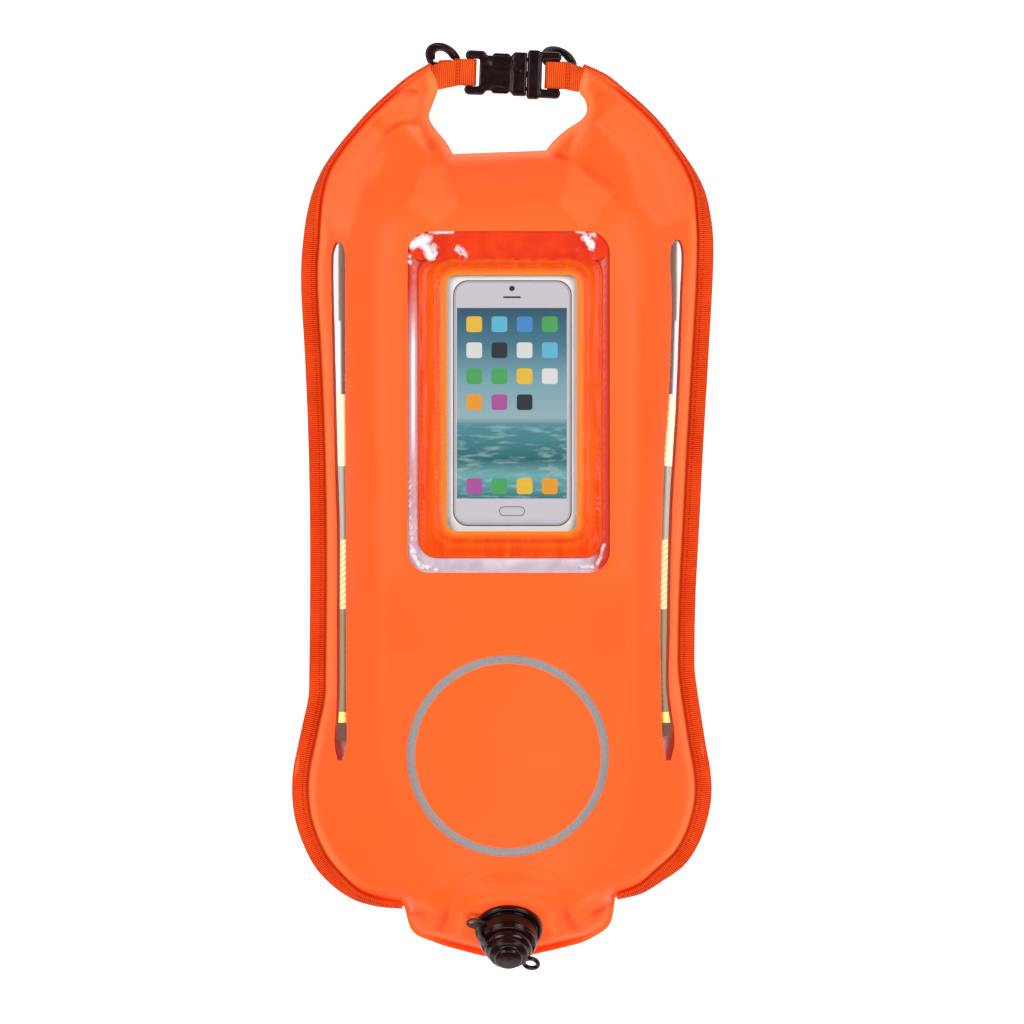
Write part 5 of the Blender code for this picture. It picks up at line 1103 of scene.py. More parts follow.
# Creases in the window film: lines in millimetres, breadth, height, and how strong the haze and painted glint along
# each is
FILM_CREASES = (
    (((-69, 193), (-66, 196), (-60, 197)), 4.4, 1.0, 1.0), (((-64, 195), (-60, 190), (-57, 184)), 3.6, 0.9, 1.0),
    (((-55, 192), (-53.5, 188), (-55, 183)), 1.9, 0.7, 0.9), (((-60, 201), (-52, 202), (-40, 202)), 1.2, 0.7, 1.0),
    (((-37, 190), (-33, 187), (-31, 184)), 3.4, 0.4, 0.42), (((-72.3, 184), (-72.8, 180), (-72.5, 177)), 1.1, 0.5, 0.8),
    (((57, 198), (60, 195), (62, 191)), 3.0, 0.9, 1.0), (((50, 202), (58, 201.6), (66, 199)), 0.9, 0.5, 0.8),
    (((40, 194), (50, 190), (60, 186)), 4.2, 0.3, 0.0),
    (((-72, 20), (-72, -10), (-71, -36)), 1.2, 0.4, 0.45), (((-70, -32), (-66, -43), (-52, -47)), 1.6, 0.5, 0.7),
    (((71, -28), (66, -43), (54, -46)), 1.5, 0.4, 0.55),
)


def film_crease(points, which):
    """How high the window film's creases stand, in metres, or how strong the haze and painted glint along them is."""
    total = np.zeros(len(points))
    for line, breadth, rise, haze_and_glint in FILM_CREASES:
        line = flowing(np.array(line) / 1000, 0.003)
        near = edge_distance(line, points, closed=False)
        bump = np.exp(-(near / (breadth / 1000)) ** 2)
        total = total + bump * rise / 1000 if which == "height" else np.maximum(total, bump ** 2 * haze_and_glint)
    return total


def cover_depth(points):
    creases = film_crease(points, "height") * 0.8 * ease(edge_distance(window_loop, points) / 0.003)
    return FILM_DEPTH - creases + rumpled(points, 46, 0.05, 0.0003)


window_film = laid("window_cover", film_loop, [], cover_depth, 0.0004, window_vinyl, 0.0026)
painted(window_film, "haze_and_glint", lambda points: np.maximum(
    film_crease(points, "haze_and_glint"), 0.04 * close_to(window_loop, points, 0.0005, 0.002)))
fitted(window_film, ["window_film"], "bag")


# Side windows
# A narrow slot down either side of the front, covered from inside with clear film over a strip of reflective tape. The
# tape's colour is painted reflection and shade: bright where it mirrors the light and dark towards its inner side,
# changing along its length, with a painted glow where it is bright. It carries a plain pattern of slanted bars.

# Foot of each length in millimetres, its painted reflection and its painted shade colour, how far across the
# reflection goes, and its bars
TAPE_PAINTED_LIGHT = (
    (-191, (0.13, 0.045, 0.035), (0.07, 0.025, 0.02), 0.9, 0), (-162, (1.0, 0.85, 0.20), (0.60, 0.30, 0.03), 0.8, 0),
    (-154, (0.30, 0.22, 0.10), (0.13, 0.07, 0.02), 0.75, 0), (-78, (0.95, 0.78, 0.38), (0.42, 0.25, 0.05), 0.9, 1),
    (-25, (0.44, 0.40, 0.33), (0.16, 0.11, 0.04), 0.75, 0), (29, (1.0, 0.93, 0.62), (0.50, 0.30, 0.08), 0.85, 0.4),
    (82, (0.86, 0.82, 0.92), (0.22, 0.09, 0.04), 0.62, 0), (137, (1.0, 0.99, 0.97), (0.30, 0.15, 0.09), 0.46, 0),
)
TAPE_REACH = 0.2            # of the table above, either way from the bag's middle
reflective_tape, tree, shader = finish("reflective_tape", (0.6, 0.5, 0.4), 0.3, Specular_IOR_Level=0.2,
                                      Emission_Strength=0.45)
position = position_of(tree)
up = spread(tree, split(tree, position)[1], -TAPE_REACH, TAPE_REACH)


SHADED_FROM = 50            # up from here the tape's inner side lies in shade
starts = [(row[0] / 1000 + TAPE_REACH) / (2 * TAPE_REACH) for row in TAPE_PAINTED_LIGHT]
painted_reflection, painted_shade_colour, pattern = (ramped(tree, up, list(zip(starts, colours)), "CONSTANT") for colours in (
    [row[1] for row in TAPE_PAINTED_LIGHT], [row[2] for row in TAPE_PAINTED_LIGHT],
    [(row[3], row[4], float(row[0] > SHADED_FROM)) for row in TAPE_PAINTED_LIGHT]))
bright_share, bar_share, inner_shade = node(tree, "ShaderNodeSeparateColor", {0: pattern}).outputs
across = painted_value(tree, "across")
# Painted shade past the reflection and along both edges of the slot, and painted shade up the inner side
shaded = spread(tree, calc(tree, "SUBTRACT", across, bright_share), -0.10, 0.14)
slot_edge_shade = spread(tree, calc(tree, "ABSOLUTE", calc(tree, "SUBTRACT", across, 0.5)), 0.42, 0.5, 0.0, 0.35)
slanted = stretched(tree, position, (1.0, 1.0, 1.0), (0.0, 0.0, 0.95))
bars = node(tree, "ShaderNodeTexWave", {"Vector": slanted, "Scale": 95.0, "Distortion": 0.0}).outputs["Fac"]
tape = blended(tree, product(tree, spread(tree, bars, 0.5, 0.7), bar_share, 0.7), painted_reflection, (0.30, 0.20, 0.05))
tape = blended(tree, calc(tree, "MAXIMUM", shaded, slot_edge_shade), tape, painted_shade_colour)
tape = blended(tree, product(tree, spread(tree, across, 0.62, 1.0, 0.0, 0.85), inner_shade), tape, (0.05, 0.015, 0.012))
tree.links.new(tape, shader.inputs["Base Color"])
# Painted glow where the reflection is bright
tree.links.new(blended(tree, shaded, painted_reflection, (0.0, 0.0, 0.0)), shader.inputs["Emission Color"])
beads = node(tree, "ShaderNodeTexVoronoi", {"Vector": position, "Scale": 900.0}).outputs["Distance"]
bumped(tree, shader, beads, 0.0001, 0.08)


def slot_place(points, slot_loop, mirrored):
    """How far across a side window points lie: 0 at its outer edge, and 1 at its inner edge."""
    low, high = np.full(len(points), np.inf), np.full(len(points), -np.inf)
    for start, end in zip(slot_loop, np.roll(slot_loop, -1, axis=0)):
        level = (points[:, 1] - start[1]) * (points[:, 1] - end[1]) <= 0
        x = start[0] + (points[:, 1] - start[1]) * (end[0] - start[0]) / (end[1] - start[1] + TINY)
        low, high = np.where(level, np.minimum(low, x), low), np.where(level, np.maximum(high, x), high)
    share = np.where(high > low, (points[:, 0] - low) / np.maximum(high - low, TINY), 0.5)
    return 1 - share if mirrored else share


side_vinyls = {"left": (0.93, 0.84, 0.84), "right": (0.96, 0.80, 0.78)}
for word, shares, slot_loop in (("left", LEFT_WINDOW, side_loops[0]), ("right", RIGHT_WINDOW, side_loops[1])):
    cover_loop = side_window(shares, 0.0025, 0.003)
    side_vinyl = clear_vinyl("side_vinyl_" + word, side_vinyls[word], 0.02, 0.75)
    cover = laid("side_cover_" + word, cover_loop, [], lambda points: FILM_DEPTH + rumpled(points, 51, 0.02, 0.00025),
                 0.0004, side_vinyl, 0.0022)
    painted(cover, "haze_and_glint", lambda points: np.maximum(
        0.2 * close_to(slot_loop, points, 0.0002, 0.0006),
        np.maximum(0.3 * ease((points[:, 1] - 0.1975) / 0.004), 0.75 * ease((-0.1880 - points[:, 1]) / 0.004))))
    fitted(cover, ["side_window_film_" + word], "bag")
    tape_loop = side_window([(x, y, half) for x, y, half in shares if y > 0.23], -0.0002, 0.003)
    strip = laid("tape_strip_" + word, tape_loop, [], FILM_DEPTH + 0.0009, 0.0004, reflective_tape, 0.0025)
    painted(strip, "across", lambda points: slot_place(points, slot_loop, word == "right"))
    fitted(strip, ["reflective_strip_" + word], "bag")


# Reflective ring
# A ring of grey reflective ink with glass beads, printed on the front. The place inside it is left bare.

reflective_ink, tree, shader = finish("reflective_ink", (0.33, 0.30, 0.30), 0.5, Specular_IOR_Level=0.6)
position = position_of(tree)
beads = node(tree, "ShaderNodeTexVoronoi", {"Vector": position, "Scale": 1400.0}).outputs["Distance"]
worn = spread(tree, noise(tree, position, 0.004, 4), 0.60, 0.72, 0.0, 0.5)
ink = blended(tree, spread(tree, beads, 0.0, 0.6), (0.40, 0.37, 0.37), (0.27, 0.24, 0.24))
tree.links.new(blended(tree, worn, ink, (0.62, 0.20, 0.12)), shader.inputs["Base Color"])
bumped(tree, shader, beads, 0.0002, 0.7)
RING_CENTRE, RING_RADIUS, RING_BREADTH = (0.0, -0.1846), 0.0747, 0.0062
ring_rows = [circle(RING_CENTRE, RING_RADIUS - RING_BREADTH * share, 230) for share in (0, 0.12, 0.5, 0.88, 1)]
ring_points, ring_faces = triangulated([ring_rows[0]], np.vstack(ring_rows[1:-1]), [ring_rows[-1]])
ring_lift = 0.00045 * ease(np.minimum(edge_distance(ring_rows[0], ring_points),
                                      edge_distance(ring_rows[-1], ring_points)) / 0.0007)
ring_places, _ = on_front(ring_points, -(ring_lift + 0.0002))
printed_ring = skin("printed_ring", ring_places, ring_faces, 0.0004, reflective_ink)
fitted(printed_ring, ["reflective_ring"], "bag")


# Side webbing
# Ribbed nylon webbing, folded lengthwise over each side seam from the horn to the foot and sewn through. Along the horn
# it stands on edge. The ribs and the stitches are grown along it by Geometry Nodes.

def grown(piece, tree, **values):
    """Runs a Geometry Nodes tree on a piece, and keeps the mesh that it makes."""
    modifier = piece.modifiers.new(tree.name, "NODES")
    modifier.node_group = tree
    for item in tree.interface.items_tree:
        label = item.name.replace(" ", "_").lower()
        if item.in_out == "INPUT" and label in values:
            modifier[item.identifier] = values[label]
    made = bpy.data.meshes.new_from_object(piece.evaluated_get(bpy.context.evaluated_depsgraph_get()))
    piece.modifiers.clear()
    piece.data = made
    return piece


def growth(name, inputs):
    """An empty Geometry Nodes tree with named inputs, and its ends."""
    tree = bpy.data.node_groups.new(name, "GeometryNodeTree")
    tree.interface.new_socket("Geometry", in_out="INPUT", socket_type="NodeSocketGeometry")
    for label, kind in inputs:
        tree.interface.new_socket(label, in_out="INPUT", socket_type="NodeSocket" + kind)
    tree.interface.new_socket("Geometry", in_out="OUTPUT", socket_type="NodeSocketGeometry")
    return tree, tree.nodes.new("NodeGroupInput").outputs, tree.nodes.new("NodeGroupOutput").inputs


def attribute(tree, name, kind="FLOAT"):
    made = node(tree, "GeometryNodeInputNamedAttribute", {"Name": name}, data_type=kind)
    return next(o for o in made.outputs if o.enabled and o.name == "Attribute")


ribbing, given, result = growth("webbing_ribs", (("Rib pitch", "Float"), ("Rib depth", "Float"), ("Yarn", "Material")))
half_turns = product(ribbing, attribute(ribbing, "along"), math.pi)
wave = calc(ribbing, "SINE", calc(ribbing, "DIVIDE", half_turns, given["Rib pitch"]))
rib = calc(ribbing, "SUBTRACT", calc(ribbing, "POWER", calc(ribbing, "ABSOLUTE", wave), 0.7), 0.7)
lift = product(ribbing, rib, given["Rib depth"], attribute(ribbing, "loft"))
offset = node(ribbing, "ShaderNodeVectorMath", {0: node(ribbing, "GeometryNodeInputNormal").outputs[0], "Scale": lift},
              operation="SCALE").outputs[0]
ribbed = node(ribbing, "GeometryNodeSetPosition", {"Geometry": given["Geometry"], "Offset": offset}).outputs[0]
ribbed = node(ribbing, "GeometryNodeRealizeInstances", {0: ribbed}).outputs[0]
ribbed = node(ribbing, "GeometryNodeSetMaterial", {"Geometry": ribbed, "Material": given["Yarn"]}).outputs[0]
ribbing.links.new(ribbed, result["Geometry"])

stitching, given, result = growth("stitch_row", (("Stitch length", "Float"), ("Stitch gap", "Float"),
                                                 ("Thread radius", "Float"), ("Thread", "Material")))
seam_line = node(stitching, "GeometryNodeMeshToCurve", {"Mesh": given["Geometry"]}).outputs[0]
pitch = calc(stitching, "ADD", given["Stitch length"], given["Stitch gap"])
seam_line = node(stitching, "GeometryNodeResampleCurve", {"Curve": seam_line, "Length": pitch},
                 mode="LENGTH").outputs[0]
stitch = node(stitching, "GeometryNodeMeshUVSphere", {"Segments": 6, "Rings": 5, "Radius": 1.0}).outputs[0]
stitch = node(stitching, "GeometryNodeSetShadeSmooth", {"Geometry": stitch}).outputs[0]
turned_along = node(stitching, "FunctionNodeAlignRotationToVector",
                    {"Vector": node(stitching, "GeometryNodeInputTangent").outputs[0]}, axis="X").outputs[0]
turned_out = node(stitching, "FunctionNodeAlignRotationToVector",
                  {"Rotation": turned_along, "Vector": attribute(stitching, "facing", "FLOAT_VECTOR")},
                  axis="Z", pivot_axis="X").outputs[0]
stitch_size = node(stitching, "ShaderNodeCombineXYZ", {0: product(stitching, given["Stitch length"], 0.55),
                                                       1: given["Thread radius"], 2: given["Thread radius"]}).outputs[0]
stitches = node(stitching, "GeometryNodeInstanceOnPoints", {"Points": seam_line, "Instance": stitch,
                                                            "Rotation": turned_out, "Scale": stitch_size}).outputs[0]
stitches = node(stitching, "GeometryNodeRealizeInstances", {0: stitches}).outputs[0]
stitches = node(stitching, "GeometryNodeSetMaterial", {"Geometry": stitches, "Material": given["Thread"]}).outputs[0]
stitching.links.new(stitches, result["Geometry"])


def webbing_finish(name, colour, painted_shade_colour, rib_pitch):
    """Woven nylon yarn: every rib is painted lit along its top and painted in shade down to its grooves, and its yarns
    cross it at a slant.
    """
    material, tree, shader = finish(name, colour, 0.62, Specular_IOR_Level=0.10, Emission_Color=PAINTED_FLUORESCENT_GLOW,
                                    Emission_Strength=0.17)
    strip = node(tree, "ShaderNodeUVMap", uv_map="UVMap").outputs[0]
    parts = split(tree, strip)
    wave = calc(tree, "SINE", product(tree, parts[0], math.pi / rib_pitch))
    rib = calc(tree, "POWER", calc(tree, "ABSOLUTE", wave), 1.3)
    slant = calc(tree, "ADD", product(tree, parts[1], 2 * math.pi / 0.0011),
                 product(tree, parts[0], 2 * math.pi / 0.0016))
    yarn = spread(tree, calc(tree, "SINE", slant), -1, 1)
    fuzz = noise(tree, strip, 0.0007, 3)
    worn = spread(tree, noise(tree, position_of(tree), 0.03, 3), 0.35, 0.7, 0.0, 0.3)
    # Painted light along the ribs' tops, and painted shade in the grooves between them
    tone = blended(tree, product(tree, rib, spread(tree, yarn, 0, 1, 0.75, 1.0)), painted_shade_colour, colour)
    tone = blended(tree, worn, tone, tuple(min(1.0, c * 1.25 + 0.01) for c in colour))
    tree.links.new(tone, shader.inputs["Base Color"])
    tree.links.new(spread(tree, fuzz, 0.3, 0.7, 0.52, 0.72), shader.inputs["Roughness"])
    relief = calc(tree, "ADD", product(tree, yarn, 0.7), product(tree, fuzz, 0.5))
    bumped(tree, shader, relief, 0.00025, 0.6)
    return material


RIB_PITCH = 0.00155
RIB_DEPTH = 0.00042
WEBBING_ORANGE = (1.0, 0.088, 0.005)
WEBBING_GROOVE_SHADE = (0.15, 0.003, 0.001)
webbing_yarn = webbing_finish("webbing_yarn", WEBBING_ORANGE, WEBBING_GROOVE_SHADE, RIB_PITCH)
strap_yarn = webbing_finish("strap_yarn", (1.0, 0.130, 0.012), (0.20, 0.005, 0.001), RIB_PITCH)
thread, tree, shader = finish("thread", (0.50, 0.04, 0.008), 0.6, Specular_IOR_Level=0.1,
                              Emission_Color=PAINTED_FLUORESCENT_GLOW, Emission_Strength=0.12)
tree.links.new(blended(tree, noise(tree, position_of(tree), 0.0012, 2), (0.66, 0.045, 0.006), (0.34, 0.012, 0.002)),
               shader.inputs["Base Color"])


def faced_out(mesh):
    work = bmesh.new()
    work.from_mesh(mesh)
    bmesh.ops.recalc_face_normals(work, faces=work.faces)
    work.to_mesh(mesh)
    work.free()


def joined(name, sections, material, closed_way):
    """A closed surface through like rings of points, the last ring joined to the first, or both ends capped."""
    rows, count, _ = sections.shape
    index = np.arange(rows * count).reshape(rows, count)
    after = np.roll(index, -1, axis=1)
    last = None if closed_way else -1
    quads = np.stack([index, after, np.roll(after, -1, axis=0), np.roll(index, -1, axis=0)], axis=-1)[:last]
    ends = [] if closed_way else [index[0][::-1].tolist(), index[-1].tolist()]
    return new_piece(name, sections.reshape(-1, 3), quads.reshape(-1, 4).tolist() + ends, material)


def swept(name, sections, along, around, loft):
    """A closed strip through rings of points, with how far along, how far across and how lofty each point is."""
    rows, ring, _ = sections.shape
    made = joined(name, sections, None, False)
    mesh = made.data
    wide = np.append(around, around[-1] + 0.0002)
    corners = np.empty((rows - 1, ring, 4, 2))
    corners[..., 0] = np.stack([along[:-1], along[:-1], along[1:], along[1:]], axis=-1)[:, None, :]
    corners[..., 1] = np.stack([wide[:-1], wide[1:], wide[1:], wide[:-1]], axis=-1)[None, :, :]
    flat = np.zeros((len(mesh.loops), 2), np.float32)
    flat[:(rows - 1) * ring * 4] = corners.reshape(-1, 2)
    mesh.uv_layers.new(name="UVMap").data.foreach_set("uv", flat.ravel())
    for label, values in (("along", np.repeat(along, ring)), ("loft", np.tile(loft, rows))):
        mesh.attributes.new(label, "FLOAT", "POINT").data.foreach_set("value", values.astype(np.float32))
    faced_out(mesh)
    mesh.shade_smooth()
    return made


def chaikin(line, rounds=2):
    """Rounds the corners of many open lines at once, whose points run along the second axis."""
    for _ in range(rounds):
        near = 0.75 * line[:, :-1] + 0.25 * line[:, 1:]
        far = 0.25 * line[:, :-1] + 0.75 * line[:, 1:]
        inner = np.stack([near, far], axis=2).reshape(len(line), -1, line.shape[2])
        line = np.concatenate([line[:, :1], inner, line[:, -1:]], axis=1)
    return line


def evened(line, shares):
    """Many open lines, each with points at the same shares of its length."""
    return np.stack([resampled(row, lengths(row), shares * lengths(row)[-1]) for row in line])


def stitched(name, line, facing, body, length=0.0024, gap=0.0011, radius=0.00033):
    """A row of stitches along a line, on a face."""
    seam = new_piece(name, line, [])
    seam.data.edges.add(len(line) - 1)
    seam.data.edges.foreach_set("vertices", np.repeat(np.arange(len(line)), 2)[1:-1].astype(np.int32))
    ways = seam.data.attributes.new("facing", "FLOAT_VECTOR", "POINT")
    ways.data.foreach_set("vector", facing.astype(np.float32).ravel())
    grown(seam, stitching, stitch_length=length, stitch_gap=gap, thread_radius=radius, thread=thread)
    if body:
        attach(seam, body)
    return seam


OUTER_POINTS = 25
for word, rows in (("left", left_rows), ("right", right_rows)):
    fine = flowing(rows, RIB_PITCH / 3)
    flat_share = np.clip(fine[:, 2], 0, 1)
    stand_share = np.sqrt(1 - flat_share ** 2)
    run = unit(np.gradient(fine[:, :2], axis=0))
    inward = np.column_stack([-run[:, 1], run[:, 0]])
    along = np.arange(len(fine)) * RIB_PITCH / 3
    half = SEAM_STACK + GAP
    zeros = np.zeros(len(fine))
    out_n, out_z = -WEBBING_THICKNESS * stand_share, WEBBING_THICKNESS * flat_share
    start_n, start_z = zeros + WEBBING_THICKNESS, zeros + half
    waver = rumpled(fine[:, :2], 61, 0.03, 0.0002)
    end_n, end_z = start_n + LEAF * flat_share, half + LEAF * stand_share + waver * flat_share
    outer = [(end_n + out_n, end_z + out_z), (start_n + out_n, start_z + out_z), (zeros, zeros + half * 0.75)]
    outer += [(n, -z) for n, z in reversed(outer)]
    inner = [(end_n, -end_z), (start_n, -start_z), (start_n, start_z), (end_n, end_z)]
    outer, inner = (np.stack([np.stack(p, axis=1) for p in part], axis=1) for part in (outer, inner))
    outer = evened(chaikin(outer), np.linspace(0, 1, OUTER_POINTS))
    section = np.concatenate([outer, inner], axis=1)
    places = np.empty((*section.shape[:2], 3))
    places[..., :2] = fine[:, None, :2] + inward[:, None, :] * section[..., :1]
    places[..., 2] = SEAM_HEIGHT + section[..., 1]
    across = np.concatenate([np.linspace(0, 2 * LEAF + 0.004, OUTER_POINTS), np.linspace(0.025, 0.045, 4)])
    off_edge = np.minimum(np.arange(OUTER_POINTS), np.arange(OUTER_POINTS)[::-1])
    loft = np.concatenate([np.minimum(1, off_edge / 2.0 + 0.3), np.zeros(4)])
    binding = swept("binding_" + word, places, along, across, loft)
    grown(binding, ribbing, rib_pitch=RIB_PITCH, rib_depth=RIB_DEPTH, yarn=webbing_yarn)
    fitted(binding, ["side_webbing_" + word], "bag")
    # One row of stitches near the upper leaf's inner edge, and one under it
    for side, name in ((1, "upper"), (-1, "lower")):
        ring_row = places[::3, 3 if side > 0 else OUTER_POINTS - 4]
        beyond = places[::3, 2 if side > 0 else OUTER_POINTS - 3] - ring_row
        facing = unit(np.cross(np.gradient(ring_row, axis=0), beyond) * side, TINY ** 2)
        outward = np.column_stack([-inward[::3] * stand_share[::3, None], side * flat_share[::3]])
        facing *= np.sign(np.sum(facing * outward, axis=1))[:, None]
        stitched(f"binding_stitches_{word}_{name}", ring_row[3:-3] + facing[3:-3] * 0.00022, facing[3:-3], "bag")


# Handle straps
# Two short straps of the same ribbed webbing, each sewn into a horn's tip, folded round a bar of the buckle and sewn
# back on itself with bar tacks.

STRAP_LAYER = 0.00085       # middle of each of a strap's two layers, from its middle plane
BAR_HEIGHT = 0.0014
loop_middle = Vector((*place(0, 0.98689), SEAM_HEIGHT))
buckle_frame = Matrix.Translation(loop_middle + Vector((0.0142, 0, 0))) @ Matrix.Rotation(math.radians(-2.1), 4, "Z")


def into(frame_matrix, points):
    """Points of one frame, in the bag's."""
    turn = np.array(frame_matrix.to_3x3())
    return np.asarray(points) @ turn.T + np.array(frame_matrix.translation)


def eased_path(rows, step, passes):
    """Rows of a point and more, evenly spaced along the point's way, with their corners rounded."""
    rows = np.array(rows, float)
    for rounds in (passes, 0):
        gone = lengths(rows[:, :3])
        rows = resampled(rows, gone, np.linspace(0, gone[-1], round(gone[-1] / step) + 1))
        for _ in range(rounds):
            rows[1:-1] = (rows[:-2] + 2 * rows[1:-1] + rows[2:]) / 4
    return rows


def webbing_strip(name, rows, width, thickness, frame_matrix, pitch, depth, passes=5, count=19):
    """A ribbed strap along rows of a point, the way it is wide and the way it faces."""
    rows = eased_path([[*p, *w, *f] for p, w, f in rows], pitch / 3, passes)
    point, wide, face = rows[:, None, :3], rows[:, None, 3:6], unit(rows[:, None, 6:])
    flat = np.linspace(thickness / 2 - width / 2, width / 2 - thickness / 2, count)
    turns = np.radians((-60, -20, 20, 60))
    ends = np.stack([flat[-1] + thickness / 2 * np.cos(turns), thickness / 2 * np.sin(turns)], axis=1)
    half = np.full(count, thickness / 2)
    section = np.vstack([np.column_stack([flat, -half]), ends, np.column_stack([flat[::-1], half]), -ends])
    places = into(frame_matrix, point + wide * section[None, :, :1] + face * section[None, :, 1:])
    made = swept(name, places, np.arange(len(rows)) * pitch / 3, lengths(section), np.ones(len(section)))
    return grown(made, ribbing, rib_pitch=pitch, rib_depth=depth, yarn=strap_yarn)


for word, slot_x, bar, way, end in (("left", -0.0398, 0.0058, -1, (-0.0552, -0.0016)),
                                    ("right", 0.0153, 0.0092, 1, (0.0548, -0.0034))):
    over = BAR_HEIGHT + 0.0004 + WEBBING_THICKNESS / 2
    tip = buckle_frame.inverted() @ (loop_middle + Vector((*end, 0)))
    bar_edge = slot_x + way * bar
    low_x = bar_edge + way * 0.004
    across, up = (0, 1, 0), (0, 0, 1)
    rows = [((tip.x + way * 0.005, tip.y, 0), (0, 0.68, 0), up), ((*tip[:2], 0), (0, 0.92, 0), up),
            ((tip.x - way * 0.003, tip.y, 0), across, up), ((low_x, 0, STRAP_LAYER), across, up),
            ((bar_edge, 0, over), across, up)]
    for angle in np.linspace(math.pi / 2, -math.pi / 2, 15):
        outward = (-way * math.cos(angle), 0, math.sin(angle))
        rows.append(((slot_x + way * 0.001 + outward[0] * over, 0, outward[2] * over), across, outward))
    rows += [((bar_edge, 0, -over), across, (0, 0, -1)), ((low_x, 0, -STRAP_LAYER), across, (0, 0, -1)),
             ((bar_edge + way * 0.0085, 0, -STRAP_LAYER), across, (0, 0, -1))]
    strap = webbing_strip("strap_" + word, rows, WEBBING_WIDTH, WEBBING_THICKNESS, buckle_frame, RIB_PITCH, RIB_DEPTH)
    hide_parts("handle_webbing_" + word)
    pieces = [strap]
    # Bar tacks across the strap, on its face and its back
    for number, (at, side) in enumerate(((0.0048, 1), (0.0070, 1), (0.0058, -1))):
        tack = np.array([(bar_edge + way * at, y, side * (STRAP_LAYER + 0.00098)) for y in
                         np.linspace(-0.0085, 0.0085, 12)])
        facing = np.tile((0.0, 0.0, float(side)), (len(tack), 1))
        pieces.append(stitched(f"bar_tack_{word}_{number}", into(buckle_frame, tack), facing, None,
                               length=0.0019, gap=0.0005, radius=0.00032))
    # The left strap's pieces go with the bag, and the right one's are kept where they lie
    for piece in pieces:
        if way < 0:
            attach(piece, "bag")
        else:
            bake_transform(piece)


# D-rings
# Two moulded D-rings, each held by a tab of narrow webbing sewn under a strap. They are broad beside the bow, and round
# where the tab holds them. The left one leans up, and the right one down.

moulded, tree, shader = finish("moulded_plastic", (0.017, 0.0065, 0.0065), 0.26, Specular_IOR_Level=0.2)
position = position_of(tree)
scuffs = spread(tree, noise(tree, position, 0.0035, 5), 0.55, 0.75)
tree.links.new(blended(tree, scuffs, (0.013, 0.0042, 0.0044), (0.024, 0.0085, 0.0085)), shader.inputs["Base Color"])
tree.links.new(spread(tree, noise(tree, position, 0.008, 3), 0.35, 0.7, 0.22, 0.40), shader.inputs["Roughness"])
bumped(tree, shader, noise(tree, position, 0.0009, 3), 0.0001, 0.35)
D_HALF_BAR, D_DEPTH, D_CORNER, RING_ROD = 0.0118, 0.0195, 0.0045, 0.0021


def turned_grid(name, sections, material, closed_way=True):
    """Rings of points as a smooth piece."""
    made = joined(name, sections, material, closed_way)
    faced_out(made.data)
    return softened(made, 40)


def full_turn(count):
    return np.linspace(0, 2 * math.pi, count, endpoint=False)


def rod_ring(name, path, outward_half, inward_half, height, frame_matrix, material, sides=20):
    """A rod along a closed flat path. It may be broader on its inner side."""
    run = unit(np.roll(path, -1, axis=0) - np.roll(path, 1, axis=0))
    outward = np.column_stack([run[:, 1], -run[:, 0]])
    turns = full_turn(sides)
    across = np.cos(turns)[None, :]
    reach = across * np.where(across > 0, outward_half, np.asarray(inward_half)[:, None])
    places = np.empty((len(path), sides, 3))
    places[..., :2] = path[:, None] + outward[:, None] * reach[..., None]
    places[..., 2] = height * np.sin(turns)
    return turned_grid(name, into(frame_matrix, places), material)


corner_turns = np.linspace(0, math.pi / 2, 9)
bow_turns = np.linspace(0, math.pi, 61)[1:-1]
right_corner = np.column_stack([D_HALF_BAR - D_CORNER + D_CORNER * np.sin(corner_turns),
                                D_CORNER - D_CORNER * np.cos(corner_turns)])
bow = np.column_stack([D_HALF_BAR * np.cos(bow_turns),
                       D_CORNER + (D_DEPTH - D_CORNER) * np.sin(bow_turns) ** 0.85])
bar_points = np.column_stack([np.linspace(D_CORNER - D_HALF_BAR, D_HALF_BAR - D_CORNER, 13)[1:-1], np.zeros(11)])
d_path = np.vstack([right_corner, bow, (right_corner * (-1, 1))[::-1], bar_points])
broad = 1 + 1.7 * ease((d_path[:, 1] - 0.002) / 0.006)
webbing_narrow = webbing_finish("webbing_narrow", WEBBING_ORANGE, WEBBING_GROOVE_SHADE, 0.0011)
